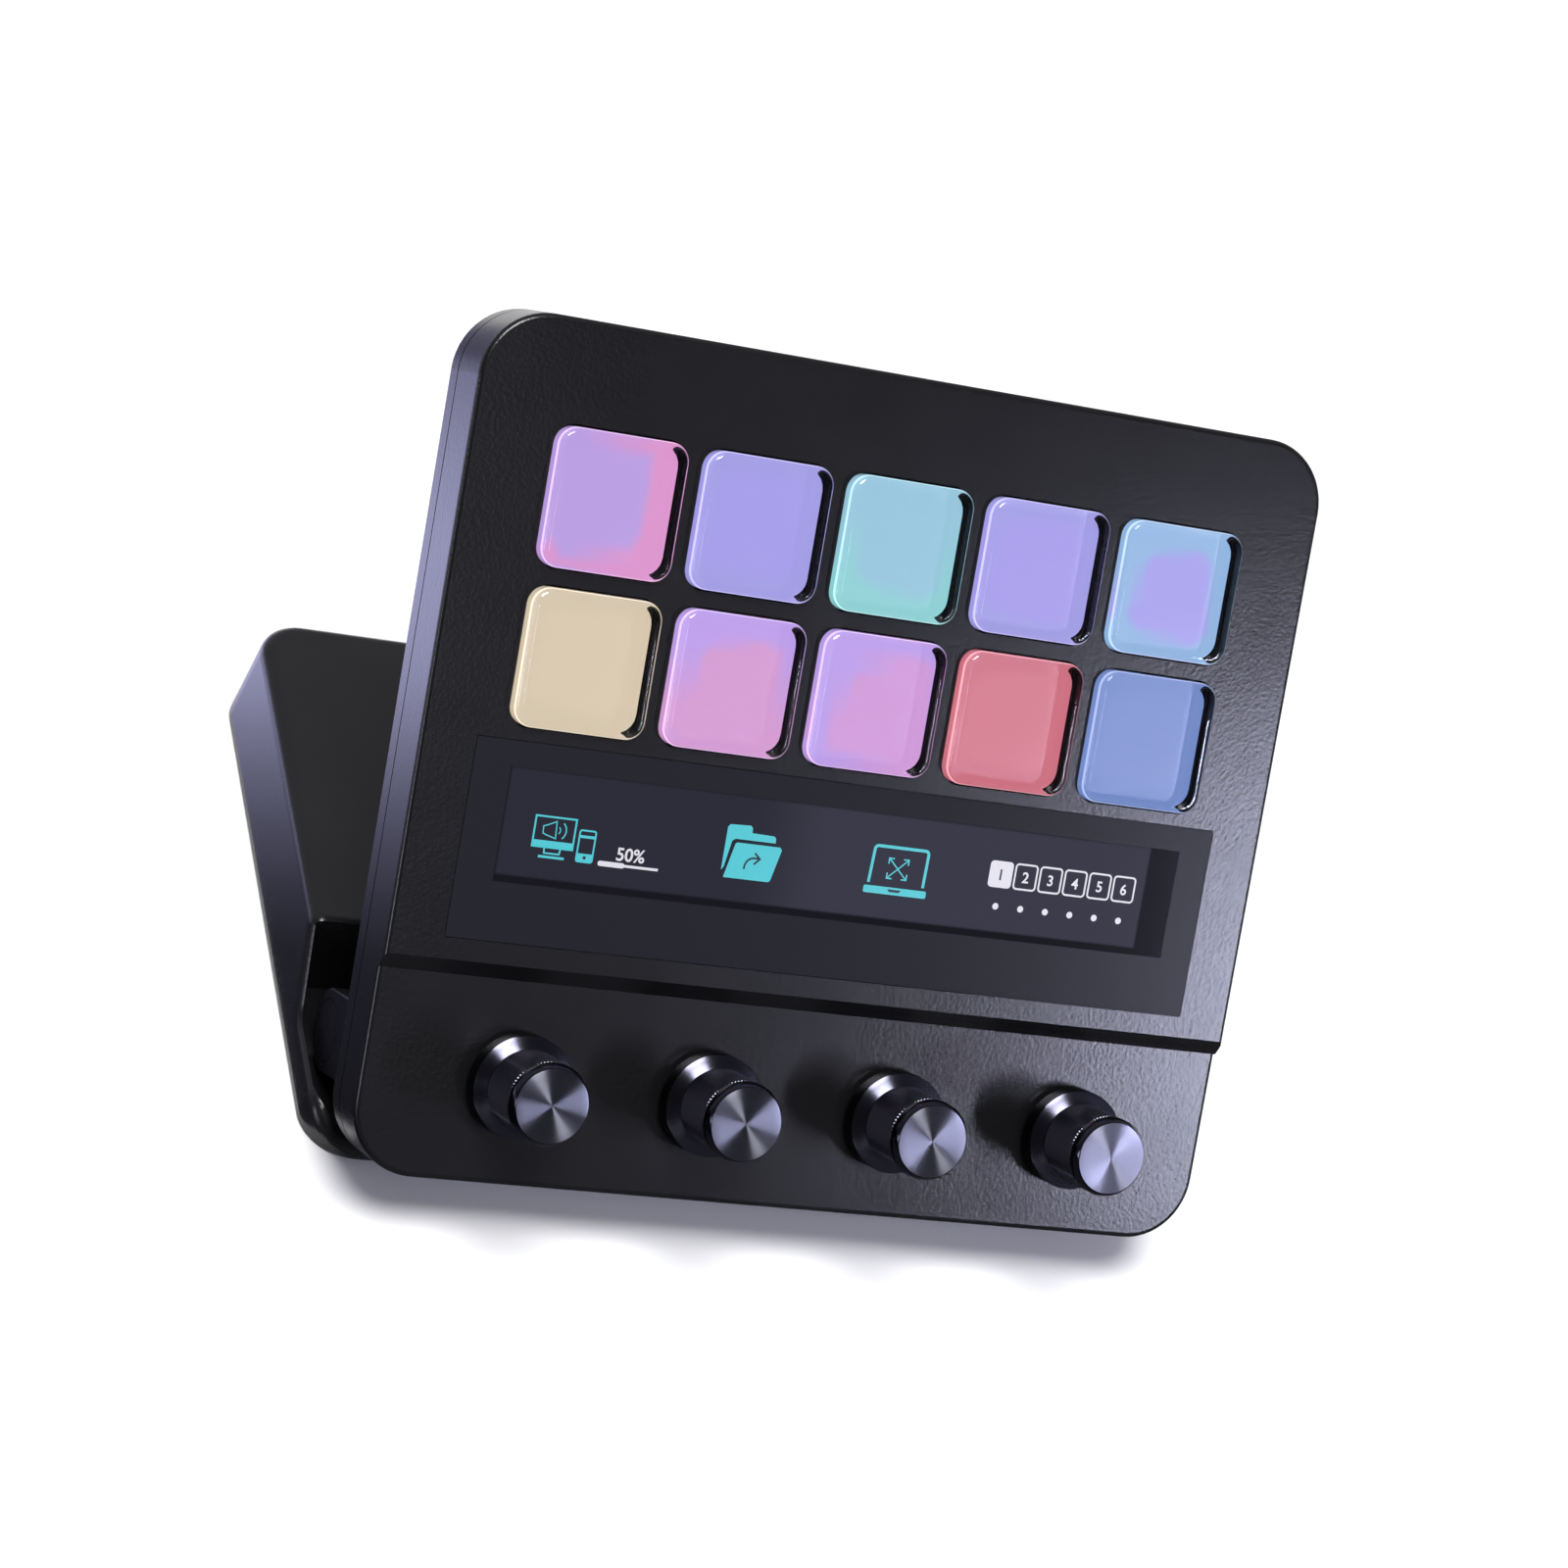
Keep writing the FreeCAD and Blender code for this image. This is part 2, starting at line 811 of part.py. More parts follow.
def bracket_screws():
    """Four screws through the feet and the deck into the floor plate."""
    seat = deck_z + foot_thick
    screws = []
    for x, y in foot_screw_places():
        profile = [
            (0, pad_thick),
            (base_screw_radius, pad_thick),
            (base_screw_radius, seat),
            (screw_head_radius, seat),
            (screw_head_radius, seat + foot_screw_head_thick),
            (0, seat + foot_screw_head_thick),
        ]
        screws.append(turned(profile, x, y))
    return Part.makeCompound(screws)


# Stand

def rear_wall_y(z):
    """Where the stand's leaning rear wall is, at height z."""
    return base_rear_y - base_lean * (z - base_lift) / base_height


def base_plate(inset, z_low, z_high):
    """Plate with the stand's outline, drawn in by an inset, and its leaning rear edge."""
    side = base_width / 2 - inset
    front = base_front_y + inset
    rear = rear_wall_y(z_low) - inset
    front_corner = base_front_corner - inset
    rear_corner = base_rear_corner - inset
    upright = [
        (-side, front, front_corner),
        (side, front, front_corner),
        (side, rear + base_lean + beyond, 0),
        (-side, rear + base_lean + beyond, 0),
    ]
    leaning = [
        (-side, front - beyond, 0),
        (side, front - beyond, 0),
        (side, rear, rear_corner),
        (-side, rear, rear_corner),
    ]
    height = z_high - z_low
    forward = rear_wall_y(z_high) - rear_wall_y(z_low)
    front_part = prism(upright, xy(z_low), Vector(0, 0, height))
    return front_part.common(prism(leaning, xy(z_low), Vector(0, forward, height)))


def base_cover():
    """Stand's shell: raised rear block, side rims that slope down, low recess between them."""
    rim_z = base_lift + rim_height
    lip_z = base_lift + lip_height
    behind = base_rear_y + beyond
    side_view = [
        (behind, base_lift, 0),
        (behind, base_top_z, 0),
        (block_front_y, base_top_z, block_top_round),
        (rim_foot_y, rim_z, rim_foot_round),
        (rim_end_y, rim_z, rim_end_round),
        (lip_y, lip_z, lip_round),
        (base_front_y - beyond, lip_z, 0),
        (base_front_y - beyond, base_lift, 0),
    ]
    half = base_width / 2
    body = prism(side_view, yz(-half), Vector(base_width, 0, 0))
    body = body.common(base_plate(0, base_lift, base_top_z))
    body = body.makeFillet(base_round, top_outline_edges(body))

    body = body.cut(base_recess())
    body = body.cut(base_plate(base_wall, base_lift, base_lift + recess_under))
    room_low_y = block_front_y + base_wall
    room = base_plate(base_wall, base_lift, base_top_z - base_wall)
    room = room.common(block(-half, half, room_low_y, behind, base_lift, base_top_z))
    body = body.cut(room)

    posts = []
    holes = []
    for x, y in both_sides(base_posts):
        posts.append(post(x, y, base_post_radius, floor_z, base_top_z - base_wall + post_bond))
        holes.append(post(x, y, base_screw_radius, floor_z, floor_z + base_post_bore))
    for x, y in foot_screw_places():
        holes.append(post(x, y, base_screw_radius, base_lift, deck_z))
    return fuse(body, posts).cut(Part.makeCompound(holes))


def base_recess():
    """Room between the rims: from the raised block's front to the lip along the front edge."""
    side = base_width / 2 - rim_wall
    front = base_front_y + lip_wall
    corners = [
        (-side, front, recess_corner),
        (side, front, recess_corner),
        (side, block_front_y, 0),
        (-side, block_front_y, 0),
    ]
    return prism(corners, xy(deck_z), Vector(0, 0, base_top_z + beyond - deck_z))


def top_outline_edges(body):
    """Edges between the stand's outer walls and what lies on top of them."""
    edges = []
    for edge in body.Edges:
        box = edge.BoundBox
        foot_to_top = box.ZMin < base_lift + tiny and box.ZMax > base_lift + tiny
        on_bottom = box.ZMax < base_lift + tiny
        if on_base_wall(edge) and not foot_to_top and not on_bottom:
            edges.append(edge)
    return edges


def on_base_wall(edge):
    """True if the whole edge lies on the stand's outer walls."""
    side = base_width / 2
    for i in range(5):
        first = edge.FirstParameter
        point = edge.valueAt(first + (edge.LastParameter - first) * i / 4)
        x = abs(point.x)
        if point.y > 0:
            y = point.y
            end = rear_wall_y(point.z)
            corner = base_rear_corner
        else:
            y = -point.y
            end = -base_front_y
            corner = base_front_corner
        dx = max(x - (side - corner), 0)
        dy = max(y - (end - corner), 0)
        if dx > 0 and dy > 0:
            off = abs(math.hypot(dx, dy) - corner)
        else:
            off = min(abs(x - side), abs(y - end))
        if off > tiny:
            return False
    return True


def base_floor():
    """Steel floor plate inside the stand's lower edge."""
    plate_solid = base_plate(base_wall + floor_gap, pad_thick, floor_z)
    cuts = []
    for x, y in both_sides(base_posts):
        cuts.append(countersunk(x, y, pad_thick, base_screw_radius, base_head_radius, floor_thick))
    for x, y in foot_screw_places():
        cuts.append(post(x, y, base_screw_radius, pad_thick, floor_z))
    return plate_solid.cut(Part.makeCompound(cuts))


def base_screws():
    """Four screws through the floor plate into the stand's posts."""
    screws = []
    for x, y in both_sides(base_posts):
        screws.append(countersunk(x, y, pad_thick, base_screw_radius, base_head_radius, base_screw_length))
    return Part.makeCompound(screws)


def ballast_plate():
    """Steel weight in the rear block."""
    return plate(0, ballast_y, ballast_width, ballast_depth, ballast_corner, floor_z, floor_z + ballast_thick)


def base_pad():
    """Silicone pad that grips the desk."""
    return plate(0, 0, pad_width, pad_depth, pad_corner, 0, pad_thick)


# Every node by name, in the row frame

def all_nodes():
    """Name and solid of every piece."""
    nodes = {
        "base_cover": base_cover(),
        "base_floor": base_floor(),
        "base_screws": base_screws(),
        "ballast_plate": ballast_plate(),
        "base_pad": base_pad(),
        "hinge_bracket_right": hinge_bracket(),
        "hinge_bracket_left": mirrored(hinge_bracket()),
        "bracket_screws": bracket_screws(),
        "front_cover": to_row(front_cover()),
        "rear_cover": to_row(rear_cover()),
        "panel_screws": to_row(panel_screws()),
        "cover_glass": to_row(cover_glass()),
        "touch_display": to_row(touch_display()),
        "touch_display_flex": to_row(touch_display_flex()),
        "dome_mat": to_row(dome_mat()),
        "key_contact_frame": to_row(key_contact_frame()),
        "key_display": to_row(key_display()),
        "key_display_flex": to_row(key_display_flex()),
        "display_tray": to_row(display_tray()),
        "main_board": to_row(main_board()),
        "usb_socket": to_row(usb_socket()),
        "encoder_nuts": to_row(encoder_nuts()),
        "hinge_arm_right": to_row(hinge_arm()),
        "hinge_arm_left": to_row(mirrored(hinge_arm())),
        "arm_screws": to_row(arm_screws()),
        "hinge_pin_right": to_row(hinge_pin()),
        "hinge_pin_left": to_row(mirrored(hinge_pin())),
        "hinge_washers": to_row(hinge_washers()),
        "hinge_nuts": to_row(hinge_nuts()),
    }
    for number, (x, y) in enumerate(key_places(), 1):
        nodes[f"key_cap_{number}"] = to_row(key_cap(x, y))
    for number, (x, y) in enumerate(knob_places(), 1):
        nodes[f"encoder_body_{number}"] = to_row(encoder_body(x, y))
        nodes[f"push_disc_{number}"] = to_row(push_disc(x, y))
        nodes[f"knob_shaft_{number}"] = to_row(knob_shaft(x, y))
        nodes[f"knob_insert_{number}"] = to_row(knob_insert(x, y))
        nodes[f"knob_shell_{number}"] = to_row(knob_shell(x, y))
    return nodes


def main():
    """Write one file per node, and print what each one holds."""
    os.makedirs("parts", exist_ok=True)
    nodes = all_nodes()
    for name, shape in nodes.items():
        shape.exportStep(f"parts/{name}.step")
        state = "valid" if shape.isValid() else "NOT VALID"
        print(f"{name:22s} {len(shape.Solids):2d} solid(s) {shape.Volume / 1000:8.3f} cm3 {state}")
    print(len(nodes), "nodes")


main()
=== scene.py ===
# %% [markdown]
# Macro keypad with knobs. The construction model is loaded first as a fixed frame: every
# node of it sits where it belongs, and what is made below is put on, under or instead of
# its nodes. Its outer box is kept, so that the dressed model can be compared with it.

# %% Load the construction model
import math

import bpy
import numpy as np
from mathutils import Matrix, Vector
from mathutils.geometry import tessellate_polygon


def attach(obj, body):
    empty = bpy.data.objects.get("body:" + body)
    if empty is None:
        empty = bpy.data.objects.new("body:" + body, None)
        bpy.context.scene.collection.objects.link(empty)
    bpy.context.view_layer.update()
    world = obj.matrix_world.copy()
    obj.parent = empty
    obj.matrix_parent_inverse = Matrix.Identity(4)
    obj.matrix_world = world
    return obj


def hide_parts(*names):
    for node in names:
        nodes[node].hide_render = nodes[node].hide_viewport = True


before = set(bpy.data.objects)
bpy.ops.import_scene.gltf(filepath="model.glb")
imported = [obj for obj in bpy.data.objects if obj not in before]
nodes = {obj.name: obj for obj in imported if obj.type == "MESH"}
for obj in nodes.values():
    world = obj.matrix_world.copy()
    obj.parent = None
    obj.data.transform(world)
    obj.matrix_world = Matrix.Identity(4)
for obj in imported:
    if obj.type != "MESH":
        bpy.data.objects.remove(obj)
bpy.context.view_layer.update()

# %% [markdown]
# The case leans back 52.25 degrees about its hinge. Shapes on it are easier to think of
# lying flat, so they are worked out in millimetres on the flat case: x to the right from
# the middle, y up the face from its lower edge, z out of the face. One turn and one shift
# then lean them into the frame that the whole object shares, in metres.

# %% The flat case and the leaning frame
LEAN = math.radians(52.25)
HINGE_ON_CASE = np.array([0.0, 15.7, -25.9])
HINGE_IN_FRAME = np.array([0.0, -31.0, 10.6])
TURN = np.array([
    [1, 0, 0],
    [0, math.cos(LEAN), -math.sin(LEAN)],
    [0, math.sin(LEAN), math.cos(LEAN)],
])


def lean(points):
    """Metres in the shared frame: the turn about the hinge, then the hinge's own place."""
    return ((np.asarray(points, float) - HINGE_ON_CASE) @ TURN.T + HINGE_IN_FRAME) / 1000


print("the case's upper edge is", round(float(lean([0, 123.6, 0])[2]) * 1000, 1), "mm up")

# %% [markdown]
# Turned and moulded pieces are grids: rings of points, one after another along the piece.
# Neighbours on the grid make the faces, so no face is listed by hand. A fan of triangles
# closes each end. The volume that the faces shut in, added up corner by corner, tells
# whether the skin faces outwards: if it is negative, the faces are turned round.

# %% A skin from a grid of points
def skin(name, grid, materials, rows=None, sheet=False, uv=None, sharp=30.0):
    """Mesh from rings grid[i, j]: quad (i, j), (i, j+1), (i+1, j+1), (i+1, j) for every cell.
    Fans close the first and the last ring to their middles, on a sheet only the last. rows
    gives each row's material, uv the map (i, j) -> (u, v), sharp the angle in degrees over
    which an edge stays hard."""
    m, n = grid.shape[:2]
    i, j = np.meshgrid(np.arange(m - 1), np.arange(n), indexing="ij")
    right = (j + 1) % n
    corners = [i * n + j, i * n + right, (i + 1) * n + right, (i + 1) * n + j]
    quads = np.stack(corners, -1).reshape(-1, 4)
    points = np.vstack([grid.reshape(-1, 3), [grid[0].mean(0), grid[-1].mean(0)]])
    ring = np.arange(n)
    following = (ring + 1) % n
    last_ring = (m - 1) * n
    low = np.stack([np.full(n, m * n), following, ring], -1)
    high = np.stack([np.full(n, m * n + 1), last_ring + ring, last_ring + following], -1)
    triangles = high if sheet else np.vstack([low, high])
    fans = np.vstack([quads[:, [0, 1, 2]], quads[:, [0, 2, 3]], triangles])
    first, second, third = points[fans].transpose(1, 0, 2)
    volume = np.einsum("ij,ij->i", first, np.cross(second, third)).sum() / 6
    turn_round = volume < 0 and not sheet
    if turn_round:
        quads = quads[:, ::-1]
        triangles = triangles[:, ::-1]
    mesh = bpy.data.meshes.new(name)
    mesh.from_pydata(points.tolist(), [], quads.tolist() + triangles.tolist())
    for material in materials:
        mesh.materials.append(material)
    if rows is not None:
        index = np.repeat(np.asarray(rows, np.int32), n)
        index = np.concatenate([index, np.full(len(triangles), index[-1], np.int32)])
        mesh.polygons.foreach_set("material_index", index)
    mesh.polygons.foreach_set("use_smooth", np.ones(len(mesh.polygons), bool))
    if uv is not None:
        lay_uv(mesh, uv, i, j, turn_round, len(triangles))
    mesh.set_sharp_from_angle(angle=math.radians(sharp))
    piece = bpy.data.objects.new(name, mesh)
    bpy.context.scene.collection.objects.link(piece)
    return piece


def lay_uv(mesh, uv, i, j, turn_round, fan_count):
    """UV of each face corner from its place on the grid; the seam's last column isn't wrapped.
    The closing fans come last and have none."""
    corners = [(i, j), (i, j + 1), (i + 1, j + 1), (i + 1, j)]
    if turn_round:
        corners = corners[::-1]
    values = np.stack([np.stack(uv(a, b), -1) for a, b in corners], 2).reshape(-1, 2)
    layer = mesh.uv_layers.new(name="around")
    layer.data.foreach_set("uv", np.vstack([values, np.zeros((fan_count * 3, 2))]).ravel())


print("a skin has m - 1 rows of n quads, and n triangles in each closed end")

# %% [markdown]
# The camera stands two thirds of a metre away, looks down on the keypad from its left and
# has a long lens, which keeps upright edges nearly parallel. Its place and its directions
# to the right and up were solved from the corners of the case, the keys and the strip; the
# third direction, backwards, is square to both. They are the columns of its matrix.

# %% Camera
LENS = 97.08
SENSOR_WIDTH = 36
CAMERA_PLACE = Vector((-0.2631085, -0.4267872, 0.4467128))
CAMERA_RIGHT = Vector((0.9040220, -0.2071177, 0.3739605))
CAMERA_UP = Vector((-0.1174641, 0.7207641, 0.6831554))
CAMERA_BACK = CAMERA_RIGHT.cross(CAMERA_UP)
camera = bpy.data.objects.new("camera", bpy.data.cameras.new("camera"))
camera.data.lens = LENS
camera.data.sensor_width = SENSOR_WIDTH
camera.data.clip_start = 0.01
camera.data.clip_end = 20
columns = zip(CAMERA_RIGHT, CAMERA_UP, CAMERA_BACK, CAMERA_PLACE)
camera.matrix_world = Matrix([*columns, (0, 0, 0, 1)])
bpy.context.scene.collection.objects.link(camera)
bpy.context.scene.camera = camera
bpy.context.scene.view_settings.view_transform = "Standard"
print("the camera is", round(CAMERA_PLACE.length, 2), "m away")

# %% [markdown]
# Colours are easiest to name as they look on a screen, from 0 to 255, but light adds up
# in linear values. The standard curve turns one into the other.

# %% Screen colours to linear light
def linear(red, green, blue):
    """Each value over 255; below 0.04045 divided by 12.92, else ((v + 0.055) / 1.055) ** 2.4."""
    v = np.array([red, green, blue]) / 255
    return tuple(np.where(v <= 0.04045, v / 12.92, ((v + 0.055) / 1.055) ** 2.4).tolist())


print("a mid grey of 128 is", round(linear(128, 128, 128)[0], 3), "in linear light")

# %% [markdown]
# Every finish starts from one shader with its own colour and gloss. What makes it look
# real is added to that: slow changes of gloss and shade from handling, and a fine relief,
# all worked out from the place on the piece, so that nothing needs a picture. The scales
# are in features per metre: 2500 means a grain of 0.4 mm. Noise rarely leaves the middle
# of its range, so only that middle is spread over the two shades or the two glosses.

# %% Finishes from one shader
SHADE_SPAN = (0.35, 0.65)
GLOSS_SPAN = (0.3, 0.7)


def finish(name, colour, roughness, metallic=0.0, **sockets):
    """Material with one Principled shader; sockets names further values, spaces as underscores."""
    material = bpy.data.materials.new(name)
    material.use_nodes = True
    shader = principled(material)
    shader.inputs["Base Color"].default_value = (*colour, 1)
    shader.inputs["Roughness"].default_value = roughness
    shader.inputs["Metallic"].default_value = metallic
    for socket, value in sockets.items():
        shader.inputs[socket.replace("_", " ")].default_value = value
    return material


def principled(material):
    """The material's one shader."""
    return material.node_tree.nodes["Principled BSDF"]


def node(owner, kind, **settings):
    """New node in a material or in the world, with its settings."""
    made = owner.node_tree.nodes.new(kind)
    for key, value in settings.items():
        setattr(made, key, value)
    return made


def link(owner, source, target):
    """Wire from one node's socket to another's."""
    owner.node_tree.links.new(source, target)


def spread(owner, amount, span, ends, soft=False):
    """The span of an amount carried over to two end values, straight or with soft ends."""
    kind = "SMOOTHSTEP" if soft else "LINEAR"
    made = node(owner, "ShaderNodeMapRange", interpolation_type=kind)
    made.inputs["From Min"].default_value, made.inputs["From Max"].default_value = span
    made.inputs["To Min"].default_value, made.inputs["To Max"].default_value = ends
    link(owner, amount, made.inputs["Value"])
    return made.outputs["Result"]


def noise(material, scale, detail=2.0, stretch=(1, 1, 1)):
    """Soft noise on the piece's own coordinates, drawn out along an axis by stretch below 1."""
    place = node(material, "ShaderNodeTexCoord")
    mapping = node(material, "ShaderNodeMapping")
    mapping.inputs["Scale"].default_value = stretch
    texture = node(material, "ShaderNodeTexNoise")
    texture.inputs["Scale"].default_value = scale
    texture.inputs["Detail"].default_value = detail
    link(material, place.outputs["Object"], mapping.inputs["Vector"])
    link(material, mapping.outputs["Vector"], texture.inputs["Vector"])
    return texture.outputs["Fac"]


def shade(material, amount, dark, pale):
    """Base colour from dark to pale, as amount goes over its span."""
    ramp = node(material, "ShaderNodeValToRGB")
    for step, position, colour in zip(ramp.color_ramp.elements, SHADE_SPAN, (dark, pale)):
        step.position = position
        step.color = (*colour, 1)
    link(material, amount, ramp.inputs["Fac"])
    link(material, ramp.outputs["Color"], principled(material).inputs["Base Color"])


def gloss(material, amount, low, high):
    """Roughness from low to high, as amount goes over its span."""
    roughness = spread(material, amount, GLOSS_SPAN, (low, high))
    link(material, roughness, principled(material).inputs["Roughness"])


def relief(material, height, depth, strength=1.0):
    """Bump whose full height is depth metres."""
    bump = node(material, "ShaderNodeBump")
    bump.inputs["Strength"].default_value = strength
    bump.inputs["Distance"].default_value = depth
    link(material, height, bump.inputs["Height"])
    link(material, bump.outputs["Normal"], principled(material).inputs["Normal"])


print("shade, gloss and relief follow the place on the piece")

# %% [markdown]
# The case and the stand are moulded in black plastic with a fine leathery grain, the kind that is
# etched into the mould: rounded pebbles about half a millimetre across and only a hundredth of a
# millimetre high. Rounded cells give the pebbles and a soft noise breaks their order. A picture of
# the grain would do it too, but it would need a map of the case and would stretch round its
# corners. The stand gets a copy of the plastic painted a shade paler, as painted light for the
# softer light that falls on it.

# %% Moulded black plastic
def moulded(name, dark, pale, glosses, grain, depth):
    """Black plastic: cell pattern plus noise as relief, slow noise in shade and gloss."""
    material = finish(name, dark, glosses[0], Specular_IOR_Level=0.5)
    shade(material, noise(material, 60), dark, pale)
    gloss(material, noise(material, 140, 3), *glosses)
    place = node(material, "ShaderNodeTexCoord")
    cells = node(material, "ShaderNodeTexVoronoi", feature="SMOOTH_F1")
    cells.inputs["Scale"].default_value = grain
    link(material, place.outputs["Object"], cells.inputs["Vector"])
    both = node(material, "ShaderNodeMath", operation="ADD")
    link(material, cells.outputs["Distance"], both.inputs[0])
    link(material, noise(material, grain * 0.8), both.inputs[1])
    relief(material, both.outputs["Value"], depth)
    return material


CASE_GRAIN, STAND_GRAIN = 1900, 2400
case_plastic = moulded("case_plastic", linear(14, 14, 16), linear(18, 18, 20),
                       (0.255, 0.27), CASE_GRAIN, 1.5e-5)
# The stand's plastic is the case's plastic painted a shade paler: painted light.
paler_lit_stand_plastic = moulded("paler_lit_stand_plastic", linear(19, 19, 21), linear(23, 23, 25),
                        (0.26, 0.276), STAND_GRAIN, 1.4e-5)
print("pebbles of", round(1000 / CASE_GRAIN, 2), "and", round(1000 / STAND_GRAIN, 2), "mm")

# %% [markdown]
# Small parts have plain finishes: brushed or painted steel, cast iron, silicone, board and
# foil. Brushed steel is noise drawn out along one axis, so that it reads as fine scratches,
# and the tracks of a flat cable are made in the same way. Most of these pieces are hidden
# in the case, so one or two of shade, gloss and relief are enough for each.

# %% Finishes of the small parts
black_steel = finish("black_steel", linear(15, 15, 17), 0.35, 0.0, Specular_IOR_Level=0.4)
gloss(black_steel, noise(black_steel, 300), 0.30, 0.42)
relief(black_steel, noise(black_steel, 5000), 4e-6, 0.5)

bare_steel = finish("bare_steel", linear(150, 150, 156), 0.3, 1.0)
BRUSHED = (0.05, 1, 1)
shade(bare_steel, noise(bare_steel, 900, 3, BRUSHED), linear(138, 138, 144), linear(162, 162, 168))
gloss(bare_steel, noise(bare_steel, 3000, 2, BRUSHED), 0.25, 0.42)

weight_iron = finish("weight_iron", linear(70, 70, 74), 0.6, 0.8)
shade(weight_iron, noise(weight_iron, 400, 5), linear(58, 58, 62), linear(84, 83, 86))
relief(weight_iron, noise(weight_iron, 1500, 4), 8e-5, 0.6)

silicone = finish("silicone", linear(34, 34, 37), 0.75)
shade(silicone, noise(silicone, 120), linear(30, 30, 33), linear(40, 40, 43))
relief(silicone, noise(silicone, 2500, 3), 5e-5, 0.7)

circuit_board = finish("circuit_board", linear(18, 62, 44), 0.45)
board_tracks = noise(circuit_board, 250, 1, (1, 0.2, 1))
shade(circuit_board, board_tracks, linear(14, 50, 36), linear(26, 84, 58))
gloss(circuit_board, noise(circuit_board, 800), 0.35, 0.5)

cable_foil = finish("cable_foil", linear(172, 104, 40), 0.4)
cable_tracks = noise(cable_foil, 1500, 1, (1, 0.02, 0.02))
shade(cable_foil, cable_tracks, linear(140, 80, 28), linear(190, 122, 54))

contact_foil = finish("contact_foil", linear(20, 20, 22), 0.6)
shade(contact_foil, noise(contact_foil, 700, 2), linear(14, 14, 16), linear(26, 26, 28))

screen_glass = finish("screen_glass", linear(16, 16, 20), 0.1)
gloss(screen_glass, noise(screen_glass, 500), 0.06, 0.16)

knob_bush = finish("knob_bush", linear(30, 30, 32), 0.5)
shade(knob_bush, noise(knob_bush, 900), linear(26, 26, 28), linear(38, 38, 40))
print("nine finishes for small and inner parts")

# %% [markdown]
# The touch strip is one sheet of glass, flush with the case. The display under it is never quite
# dark: its lit field shows as a paler, bluish rectangle. From the middle rightwards the field
# grows brighter still, and that rise is a painted reflection. Over it the glass is a clear, glossy
# window, and the border round the window is satin. These could be sheets of their own, but they
# have no thickness that shows, so the shader finds them from the place on the flat case: it turns
# the coordinates back by the lean, and a rectangle is one soft-edged band across times another one
# up.

# %% Rectangles on the flat case, inside a shader
def flat_place(material):
    """Object coordinates turned back by the lean and moved, so that x and y lie on the case."""
    place = node(material, "ShaderNodeTexCoord")
    mapping = node(material, "ShaderNodeMapping")
    mapping.inputs["Rotation"].default_value = (-LEAN, 0, 0)
    shift = HINGE_ON_CASE - TURN.T @ HINGE_IN_FRAME
    mapping.inputs["Location"].default_value = tuple((shift / 1000).tolist())
    link(material, place.outputs["Object"], mapping.inputs["Vector"])
    parts = node(material, "ShaderNodeSeparateXYZ")
    link(material, mapping.outputs["Vector"], parts.inputs["Vector"])
    return parts.outputs["X"], parts.outputs["Y"]


def within(material, value, middle, half, soft):
    """1 inside middle +- half, falling to 0 over a soft edge, in metres."""
    away = node(material, "ShaderNodeMath", operation="SUBTRACT")
    away.inputs[1].default_value = middle
    link(material, value, away.inputs[0])
    size = node(material, "ShaderNodeMath", operation="ABSOLUTE")
    link(material, away.outputs["Value"], size.inputs[0])
    return spread(material, size.outputs["Value"], (half - soft, half), (1, 0), soft=True)


def rectangle(material, x, y, box, soft):
    """1 inside a rectangle given by its middle x, y and its half width and half height."""
    times = node(material, "ShaderNodeMath", operation="MULTIPLY")
    link(material, within(material, x, box[0], box[2], soft), times.inputs[0])
    link(material, within(material, y, box[1], box[3], soft), times.inputs[1])
    return times.outputs["Value"]


def blend(material, amount, low, high):
    """Colour from low to high, as amount goes from 0 to 1; high may come from a node instead."""
    mixed = node(material, "ShaderNodeMix", data_type="RGBA")
    mixed.inputs["A"].default_value = (*low, 1)
    if isinstance(high, tuple):
        mixed.inputs["B"].default_value = (*high, 1)
    else:
        link(material, high, mixed.inputs["B"])
    link(material, amount, mixed.inputs["Factor"])
    return mixed.outputs["Result"]


print("a rectangle is given by its middle and its half sizes, in metres")

# %% [markdown]
# Now the glass itself. The body colour gives the satin border its dull black, the coat on top
# gives the mirror of polished glass, and the display's light is added inside its field, with a
# painted reflection that brightens it from the middle rightwards.

# %% Glass of the touch strip
STRIP_FIELD = (-0.0021, 0.0525, 0.0519, 0.0079)
STRIP_WINDOW = (0.0003, 0.0520, 0.0544, 0.0084)
FIELD_SOFT, WINDOW_SOFT = 0.0005, 0.0003
PAINTED_REFLECTION_SPAN = (-0.017, -0.003)
SATIN, POLISHED = 0.27, 0.10
BORDER_COLOUR, WINDOW_COLOUR = linear(34, 34, 40), linear(20, 20, 25)

strip_glass = finish("strip_glass", BORDER_COLOUR, SATIN, Specular_IOR_Level=0.07,
                     Coat_Weight=0.7, Coat_Roughness=0.03)
strip_x, strip_y = flat_place(strip_glass)
field = rectangle(strip_glass, strip_x, strip_y, STRIP_FIELD, FIELD_SOFT)
window = rectangle(strip_glass, strip_x, strip_y, STRIP_WINDOW, WINDOW_SOFT)
